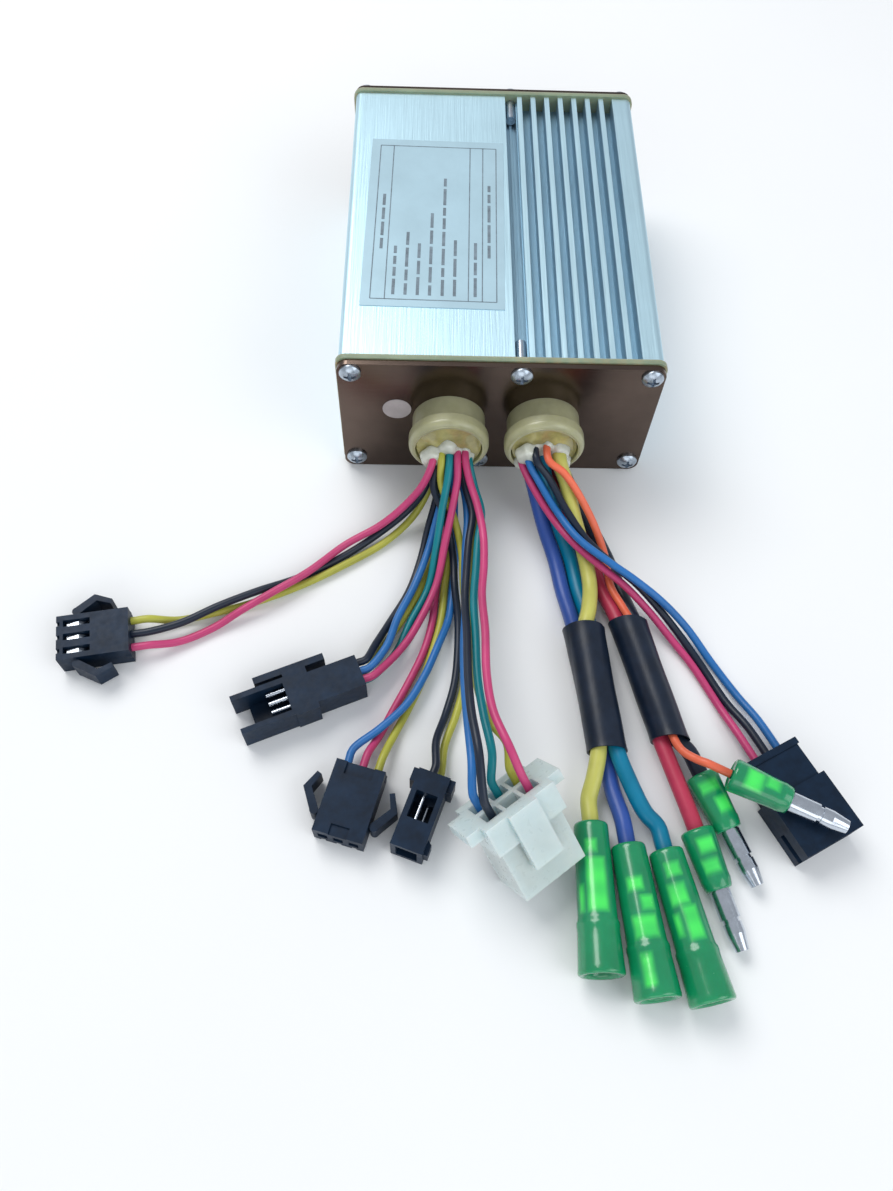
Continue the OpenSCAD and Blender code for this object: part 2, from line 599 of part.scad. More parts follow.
// One latch arm, on the plug's +Y side
module latch_arm() {
    p = latch_pivot;
    translate([0, 0, (plug.z - latch_h) / 2]) linear_extrude(latch_h) {
        translate(p) circle(r = latch_r);
        polygon([[p.x - 0.7, p.y + 0.55], [p.x + 3.9, p.y + 3.6], [p.x + 7.6, p.y + 1.9],
            [p.x + 7.2, p.y + 0.9], [p.x + 4.3, p.y + 2], [p.x + 0.6, p.y - 0.65]]);
    }
}

module throttle_plug() { color([0.09, 0.14, 0.20]) at(throttle_pose) three_way_plug(); }

module throttle_latch_left() { color([0.09, 0.14, 0.20]) at(throttle_pose) latch_arm(); }

module throttle_latch_right() { color([0.09, 0.14, 0.20]) at(throttle_pose) mirror([0, 1, 0]) latch_arm(); }

// Lies on its windows
module sensor_plug() {
    color([0.10, 0.16, 0.23]) at(sensor_pose) translate([0, 0, plug.z]) rotate([180, 0, 0]) three_way_plug();
}

module sensor_latch_left() { color([0.10, 0.16, 0.23]) at(sensor_pose) latch_arm(); }

module sensor_latch_right() { color([0.10, 0.16, 0.23]) at(sensor_pose) mirror([0, 1, 0]) latch_arm(); }

// ---- Shrouded sockets ----

// Bores for the wires and for the pins of a shrouded housing, from x back to the mating side
module way_bores(ways, x, back) {
    for (w = ways) {
        translate([x - 3, w[0], w[1]]) rotate([0, 90, 0]) cylinder(r = wire_bore_r, h = 4);
        translate([back, w[0], w[1]]) rotate([0, 90, 0]) cylinder(r = contact_r + fit_gap, h = x - back - 2);
    }
}

module display_shroud() {
    h = display_box.z;
    color([0.10, 0.16, 0.23]) at(display_pose) difference() {
        union() {
            translate([-display_box.x, -display_box.y / 2, 0]) cube(display_box);
            translate([-15.5, -4.7, 0]) cube([5, 10.2, h]);
            translate([-27, -4.4, 0]) cube([12, 8.8, h]);
            translate([-21.5, 5.9, 1.6]) cube([15.5, 1.5, 3.6]);
            translate([-15.5, 5.4, 1.6]) cube([4, 1, 3.6]);
        }
        translate([-28, -3.2, 1]) cube([12.5, 6.4, h - 2]);
        translate([-25, -3.2, 3]) cube([9, 6.4, h]);
        translate([-28, -3.2, -1]) cube([4, 6.4, h + 2]);
        way_bores(display_ways, 0, -16);
    }
}

module brake_shroud() {
    color([0.10, 0.16, 0.23]) at(brake_pose) difference() {
        union() {
            translate([-brake_box.x, -brake_box.y / 2, 0]) cube(brake_box);
            translate([-2.7, -4.4, 1]) cube([2.7, 8.8, brake_box.z - 2]);
            translate([-brake_box.x + 0.6, -4.2, 2]) linear_extrude(4)
                polygon([[0, 0], [0, 1], [3, 1], [2.2, 0]]);
        }
        translate([-brake_box.x - 1, -2.2, 1.2]) cube([11.4, 4.4, brake_box.z - 2.4]);
        translate([-10, -2.2, 4]) cube([5.6, 4.4, 5]);
        way_bores(brake_ways, 0, -6);
    }
}

module aux_shroud() {
    color([0.10, 0.15, 0.21]) at(aux_pose) difference() {
        union() {
            translate([-aux_box.x, -aux_box.y / 2, 0]) cube(aux_box);
            translate([-aux_box.x, -6.8, 0]) cube([12.5, 13.6, aux_box.z + 0.6]);
            translate([-1.4, -6.2, 0]) cube([1.4, 12.4, aux_box.z + 0.3]);
        }
        translate([-aux_recess, -4.9, 1]) cube([aux_recess + 1, 9.8, aux_box.z - 2]);
        translate([-aux_box.x - 1, -5.4, 1.1]) cube([12.4, 10.8, aux_box.z - 2]);
        translate([-aux_box.x - 1, 5.2, 2.4]) cube([7, 3, 1.8]);
        way_bores(aux_ways, -aux_recess, -10);
    }
}

// ---- Position sensor housing ----

module hall_plug() {
    f = hall_flange;
    b = hall_body;
    color([0.72, 0.80, 0.82, 0.8]) at(hall_pose) difference() {
        union() {
            translate([-f.x / 2, -4.2, -2.4]) cube([f.x, 8.4, 2.4]);
            translate([-b.x / 2 - 0.8, -f.y / 2, -f.z]) cube([b.x + 1.6, f.y, f.z]);
            translate([-b.x / 2, -b.y / 2, -f.z - b.z]) cube([b.x, b.y, b.z + 1]);
            translate([-3.2, -f.y / 2 - 1.2, -12]) cube([6.4, 1.8, 12]);
        }
        for (i = [-1 : 1], j = [-1, 1])
            translate([i * hall_pitch.x, j * hall_pitch.y / 2, -f.z - b.z - 1])
                translate([-hall_cavity / 2, -hall_cavity / 2, 0])
                    cube([hall_cavity, hall_cavity, f.z + b.z + 2]);
    }
}

// ---- Contacts ----

// A box for the pin, with a spring tongue in the plug's window. up is 1 or -1, the window's side.
module socket_contact(up) {
    difference() {
        union() {
            translate([-6.8, -0.85, -0.95]) cube([9, 1.7, 1.9]);
            rotate([90, 0, 0]) translate([0, 0, -0.55]) linear_extrude(1.1)
                polygon([[-5.8, 0], [-5.6, up * 2], [-3, up * 2.4], [-0.8, up * 0.8], [-0.8, 0]]);
        }
        translate([-7, -0.55, -0.6]) cube([7, 1.1, 1.2]);
    }
}

module socket_contacts() {
    color([0.75, 0.78, 0.80]) for (y = plug_ways) {
        at(throttle_pose) translate([0, y, plug.z / 2]) socket_contact(1);
        at(sensor_pose) translate([0, y, plug.z / 2]) socket_contact(-1);
    }
}

// Pins of a shroud: from x, through the wall, to the tip
module pins(ways, x, tip) {
    for (w = ways)
        translate([tip, w[0], w[1]]) rotate([0, 90, 0]) cylinder(r = contact_r, h = x - tip);
}

module pin_contacts() {
    color([0.75, 0.78, 0.80]) {
        at(display_pose) pins(display_ways, -2.7, -20);
        at(brake_pose) pins(brake_ways, -2.7, -12.5);
        at(aux_pose) pins(aux_ways, -aux_recess - 2.7, -14.5);
    }
}

module hall_contacts() {
    color([0.75, 0.78, 0.80]) at(hall_pose) for (w = hall_ways)
        translate([w.x * hall_pitch.x - 1.2, w.y * hall_pitch.y / 2 - 1.2, -17]) cube([2.4, 2.4, 12.6]);
}

// ---- Bullet connectors ----

module socket_sleeve() {
    difference() {
        rotate([0, 90, 0]) cylinder(r1 = socket_sleeve_r[0], r2 = socket_sleeve_r[1], h = socket_sleeve_l);
        translate([-1, 0, 0]) rotate([0, 90, 0]) cylinder(r = power_bore_r, h = 8);
        translate([6, 0, 0]) rotate([0, 90, 0]) cylinder(r = socket_bore_r + socket_wall + fit_gap, h = 30);
    }
}

module tip_sleeve(bore_r) {
    difference() {
        rotate([0, 90, 0]) cylinder(r1 = tip_sleeve_r[0], r2 = tip_sleeve_r[1], h = tip_sleeve_l);
        translate([-1, 0, 0]) rotate([0, 90, 0]) cylinder(r = bore_r, h = 8);
        translate([6, 0, 0]) rotate([0, 90, 0]) cylinder(r = tip_crimp_r + fit_gap, h = 8);
    }
}

module bullet_sleeves() {
    color([0.05, 0.65, 0.35, 0.8]) {
        for (pose = socket_poses)
            at(pose) socket_sleeve();
        for (pose = tip_poses)
            at(pose) tip_sleeve(pose == supply_orange_pose ? wire_bore_r : power_bore_r);
    }
}

// Female barrel, open at its mating end
module socket_barrel() {
    difference() {
        translate([6.5, 0, 0]) rotate([0, 90, 0]) cylinder(r = socket_bore_r + socket_wall, h = 21);
        translate([14, 0, 0]) rotate([0, 90, 0]) cylinder(r = socket_bore_r, h = 16);
    }
}

// Male pin with a snap groove, a tapered nose and a hollow tip
module bullet_tip() {
    start = 6.5;
    plain = tip_sleeve_l + 0.2;
    shoulder = plain + tip_plain_l;
    difference() {
        union() {
            translate([start, 0, 0]) rotate([0, 90, 0]) cylinder(r = tip_crimp_r, h = plain - start + 0.2);
            translate([plain, 0, 0]) rotate([0, 90, 0]) cylinder(r = tip_r, h = tip_plain_l);
            translate([shoulder - 0.2, 0, 0]) rotate([0, 90, 0]) cylinder(r = tip_r - 0.4, h = 1.2);
            translate([shoulder + 0.8, 0, 0]) rotate([0, 90, 0]) cylinder(r = tip_head_r, h = 2);
            translate([shoulder + 2.8, 0, 0]) rotate([0, 90, 0]) cylinder(r1 = tip_head_r, r2 = 1.3, h = 3.2);
        }
        translate([shoulder + 3, 0, 0]) rotate([0, 90, 0]) cylinder(r = 0.8, h = 5);
    }
}

module bullet_contacts() {
    color([0.80, 0.84, 0.88]) {
        for (pose = socket_poses)
            at(pose) socket_barrel();
        for (pose = tip_poses)
            at(pose) bullet_tip();
    }
}

// ---- Heat-shrink ----

module shrink(ends, r) {
    v = ends[1] - ends[0];
    turn = [0, acos(v.z / norm(v)), atan2(v.y, v.x)];
    translate(ends[0]) rotate(turn) difference() {
        cylinder(r1 = r[0], r2 = r[1], h = norm(v));
        translate([0, 0, -1]) cylinder(r = min(r) - shrink_wall, h = norm(v) + 2);
    }
}

module heatshrink_sleeves() {
    color([0.10, 0.13, 0.18]) {
        shrink(phase_shrink, phase_shrink_r);
        shrink(supply_shrink, supply_shrink_r);
    }
}

// ---- Wires ----

// Point at t on a centripetal curve from b to c, with neighbours a and d
function curve_at(a, b, c, d, t) =
    let (ab = sqrt(norm(b - a)), bc = sqrt(norm(c - b)), cd = sqrt(norm(d - c)))
    let (m = c - b + bc * ((b - a) / ab - (c - a) / (ab + bc)))
    let (n = c - b + bc * ((d - c) / cd - (d - b) / (bc + cd)))
    b + m * t + (3 * (c - b) - 2 * m - n) * t ^ 2 + (2 * (b - c) + m + n) * t ^ 3;

// Points along the smooth curve through route, about step apart
function along(route, step) = [
    for (i = [0 : len(route) - 2])
        let (b = route[i], c = route[i + 1])
        let (a = i == 0 ? 2 * b - c : route[i - 1])
        let (d = i == len(route) - 2 ? 2 * c - b : route[i + 2])
        let (n = max(1, round(norm(c - b) / step)))
        for (k = [0 : n - 1]) curve_at(a, b, c, d, k / n),
    route[len(route) - 1]
];

function unit(v) = v / norm(v);
function heading(p, i) = unit(p[min(i + 1, len(p) - 1)] - p[max(i - 1, 0)]);

// Side direction at each point, carried along the curve so that the tube doesn't twist
function side_dirs(p, i, side) =
    let (h = heading(p, i), s = unit(side - (side * h) * h))
    i == len(p) - 1 ? [s] : concat([s], side_dirs(p, i + 1, s));

module wire(route, d, colour) {
    sides = 8;
    p = along(route, 2.4 * d);
    s = side_dirs(p, 0, [1, 0, 0]);
    last = len(p) - 1;
    points = [for (i = [0 : last], k = [0 : sides - 1])
        let (a = (k + 0.5) * 360 / sides)
        p[i] + d / 2 * (cos(a) * s[i] + sin(a) * cross(heading(p, i), s[i]))];
    faces = concat(
        [[for (k = [0 : sides - 1]) k]],
        [for (i = [0 : last - 1], k = [0 : sides - 1])
            let (q = i * sides + k, r = i * sides + (k + 1) % sides)
            each [[q, q + sides, r], [r, q + sides, r + sides]]],
        [[for (k = [0 : sides - 1]) last * sides + sides - 1 - k]]);
    color(colour) polyhedron(points = points, faces = faces);
}

red = [0.78, 0.27, 0.46];
black = [0.10, 0.14, 0.21];
yellow = [0.73, 0.75, 0.28];
teal = [0.00, 0.55, 0.60];
blue = [0.18, 0.43, 0.75];

module throttle_yellow() { wire(throttle_yellow_route, signal_d, yellow); }
module throttle_black() { wire(throttle_black_route, signal_d, black); }
module throttle_red() { wire(throttle_red_route, signal_d, red); }
module display_black() { wire(display_black_route, signal_d, black); }
module display_yellow() { wire(display_yellow_route, signal_d, yellow); }
module display_blue() { wire(display_blue_route, signal_d, blue); }
module display_green() { wire(display_green_route, signal_d, teal); }
module display_red() { wire(display_red_route, signal_d, red); }
module sensor_blue() { wire(sensor_blue_route, signal_d, blue); }
module sensor_red() { wire(sensor_red_route, signal_d, red); }
module sensor_yellow() { wire(sensor_yellow_route, signal_d, yellow); }
module brake_black() { wire(brake_black_route, signal_d, black); }
module brake_yellow() { wire(brake_yellow_route, signal_d, yellow); }
module hall_blue() { wire(hall_blue_route, signal_d, blue); }
module hall_black() { wire(hall_black_route, signal_d, black); }
module hall_green() { wire(hall_green_route, signal_d, teal); }
module hall_yellow() { wire(hall_yellow_route, signal_d, yellow); }
module hall_red() { wire(hall_red_route, signal_d, red); }
module phase_blue() { wire(phase_blue_route, power_d, blue); }
module phase_green() { wire(phase_green_route, power_d, teal); }
module phase_yellow() { wire(phase_yellow_route, power_d, yellow); }
module supply_red() { wire(supply_red_route, power_d, red); }
module supply_black() { wire(supply_black_route, power_d, black); }
module supply_orange() { wire(supply_orange_route, signal_d, [0.92, 0.43, 0.32]); }
module aux_red() { wire(aux_red_route, signal_d, red); }
module aux_black() { wire(aux_black_route, signal_d, black); }
module aux_blue() { wire(aux_blue_route, signal_d, blue); }

housing();
front_plate();
rear_plate();
end_gaskets();
plate_screws();
rating_label();
inspection_sticker();
signal_grommet();
power_grommet();
cable_sealant();
circuit_board();
heat_bar();
mosfets();
mosfet_pads();
clamp_screws();
bus_capacitors();
control_chip();
throttle_plug();
throttle_latch_left();
throttle_latch_right();
sensor_plug();
sensor_latch_left();
sensor_latch_right();
display_shroud();
brake_shroud();
aux_shroud();
hall_plug();
socket_contacts();
pin_contacts();
hall_contacts();
bullet_sleeves();
bullet_contacts();
heatshrink_sleeves();
throttle_yellow();
throttle_black();
throttle_red();
display_black();
display_yellow();
display_blue();
display_green();
display_red();
sensor_blue();
sensor_red();
sensor_yellow();
brake_black();
brake_yellow();
hall_blue();
hall_black();
hall_green();
hall_yellow();
hall_red();
phase_blue();
phase_green();
phase_yellow();
supply_red();
supply_black();
supply_orange();
aux_red();
aux_black();
aux_blue();
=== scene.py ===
"""Looks of the electronic speed controller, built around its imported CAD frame."""
import math
import random

import bmesh
import bpy
from mathutils import Euler, Matrix, Vector


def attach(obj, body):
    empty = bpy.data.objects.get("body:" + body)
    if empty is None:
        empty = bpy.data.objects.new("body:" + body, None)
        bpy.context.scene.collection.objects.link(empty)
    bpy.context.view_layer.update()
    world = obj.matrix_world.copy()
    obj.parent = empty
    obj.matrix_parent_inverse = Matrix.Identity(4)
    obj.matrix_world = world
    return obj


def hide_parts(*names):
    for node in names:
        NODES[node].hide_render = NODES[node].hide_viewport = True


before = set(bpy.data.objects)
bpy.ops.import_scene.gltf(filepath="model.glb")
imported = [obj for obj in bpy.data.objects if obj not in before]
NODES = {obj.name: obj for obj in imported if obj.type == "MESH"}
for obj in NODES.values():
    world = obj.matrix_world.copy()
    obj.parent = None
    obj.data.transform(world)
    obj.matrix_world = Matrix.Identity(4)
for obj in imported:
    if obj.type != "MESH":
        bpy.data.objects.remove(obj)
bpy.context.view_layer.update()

MM = 0.001
BODY = "controller"

# ---- Camera ----

camera_data = bpy.data.cameras.new("camera")
camera_data.lens = 29.6
camera_data.clip_start = 0.01
camera = bpy.data.objects.new("camera", camera_data)
camera.location = (-0.016, -0.1862, 0.195)
camera.rotation_euler = [math.radians(a) for a in (28.13, -1.58, 0.12)]
bpy.context.collection.objects.link(camera)
bpy.context.scene.camera = camera

# ---- Sizes repeated from the CAD, in millimetres ----

BODY_H = 35.5
GROOVES_X = (2.75, 30.1)
LABEL_AT = (-14.6, -2)
LABEL_TURN = -1
LABEL_T = 0.15
FACE_Y = -46.1
MOUTH_Y = FACE_Y - 8.5
SIGNAL_HOLE = (-10.9, 17.8)
POWER_HOLE = (10.5, 17.8)
SIGNAL_D = 1.7
POWER_D = 3.4
PLUG_SIZE = (15, 10.3, 6)
PLUG_WAYS = (-3.2, 0, 3.2)
DISPLAY_WAYS = ((2.4, 5.2), (0.4, 5.2), (-1.6, 5.2), (1.5, 2.2), (-0.6, 2.2))
BRAKE_WAYS = ((0.6, 5.6), (-0.6, 2.6))
AUX_WAYS = ((2.4, 3.5), (-0.4, 3.5), (-3.2, 3.5))
AUX_RECESS = 6
HALL_PITCH = (4.4, 5)
HALL_WAYS = ((-1, 1), (0, 1), (1, 1), (-1, -1), (1, -1))
PHASE_SHRINK = ((18.8, -92.5, 5.1), (21.9, -120, 4.5))
SUPPLY_SHRINK = ((28.7, -90.5, 4.5), (35.2, -117.4, 4.5))

# Connector poses: position, then turns about X, Y and Z in degrees
THROTTLE = ((-86.2, -95.4, 0), (0, 0, 10))
SENSOR = ((-30, -131, 0), (0, 0, 74))
DISPLAY = ((-29, -103.4, 0), (0, 0, 23))
BRAKE = ((-13.2, -125.9, 0), (0, 0, 70))
AUX = ((54.7, -120.1, 0), (0, 0, 118))
HALL = ((-0.5, -132.7, 15.3), (-51, 0, 37))
PHASE_YELLOW = ((17.7, -134.6, 3.6), (0, -2.2, -90))
PHASE_BLUE = ((24.7, -138.8, 3.6), (0, -2.2, -84))
PHASE_GREEN = ((32, -139.8, 3.6), (0, -2.2, -78.5))
SUPPLY_RED = ((38.6, -135.6, 3.6), (0, 3, -74))
SUPPLY_BLACK = ((40.9, -124.3, 3.6), (0, 3, -68))
SUPPLY_ORANGE = ((44.7, -126.4, 10.8), (0, 0, -26))

# ---- Routes of the wires, as in the CAD ----

# Distance between the points of a wire's curve, in millimetres
ROUTE_STEP = 0.8


def turned(p, turn):
    """Point p turned about X, then Y, then Z."""
    return Euler([math.radians(a) for a in turn], "XYZ").to_matrix() @ Vector(p)


def placed(pose, p):
    """Point p of a posed piece, in the part's own frame."""
    return Vector(pose[0]) + turned(p, pose[1])


def grommet_exit(x, z):
    """A wire's first stretch: straight out through the sealant."""
    return [(x, -44, z), (x, -50, z), (x, -54.4 - (z - 11.8) / 2, z)]


def through(sleeve, r, angle, twist):
    """Points along the inside of a heat-shrink sleeve: r from its axis, at an angle that twists."""
    start, end = Vector(sleeve[0]), Vector(sleeve[1])
    points = []
    for t in (0.02, 0.35, 0.7, 0.98):
        a = math.radians(angle + t * twist)
        points.append(start.lerp(end, t) + r * Vector((math.cos(a), 0, math.sin(a))))
    return points


def connector_entry(pose, p, out, lead, depth):
    """A wire's last stretch, straight in to a depth behind point p of a connector."""
    p, out = Vector(p), Vector(out)
    return [placed(pose, p + lead * out), placed(pose, p + lead / 4 * out), placed(pose, p - depth * out)]


def plug_end(pose, way):
    """Into one way of a latched plug, through its rear face."""
    return connector_entry(pose, (PLUG_SIZE[0] / 2, PLUG_WAYS[way], PLUG_SIZE[2] / 2), (1, 0, 0), 3.5, 2.5)


def shroud_end(pose, ways, way, x):
    """Into one way of a shrouded socket, whose rear face is at x."""
    return connector_entry(pose, (x, ways[way][0], ways[way][1]), (1, 0, 0), 2, 2.5)


def hall_end(way):
    """Into one way of the six-way housing, down through its rear face."""
    column, row = HALL_WAYS[way]
    return connector_entry(HALL, (column * HALL_PITCH[0], row * HALL_PITCH[1] / 2, 0), (0, 0, 1), 2.5, 4)


def bullet_end(pose):
    """Into a bullet's crimp barrel."""
    return connector_entry(pose, (0, 0, 0), (-1, 0, 0), 5, 4.5)


def curve_at(a, b, c, d, t):
    """Point at t on a centripetal curve from b to c, with neighbours a and d."""
    ab, bc, cd = (math.sqrt((q - p).length) for p, q in ((a, b), (b, c), (c, d)))
    m = c - b + bc * ((b - a) / ab - (c - a) / (ab + bc))
    n = c - b + bc * ((d - c) / cd - (d - b) / (bc + cd))
    return b + m * t + (3 * (c - b) - 2 * m - n) * t**2 + (2 * (b - c) + m + n) * t**3


def along(route, step):
    """Points along the smooth curve through route, about step apart."""
    route = [Vector(p) for p in route]
    ends = [2 * route[0] - route[1], *route, 2 * route[-1] - route[-2]]
    points = []
    for i in range(1, len(ends) - 2):
        count = max(1, round((ends[i + 1] - ends[i]).length / step))
        points += [curve_at(*ends[i - 1 : i + 3], k / count) for k in range(count)]
    return points + [route[-1]]


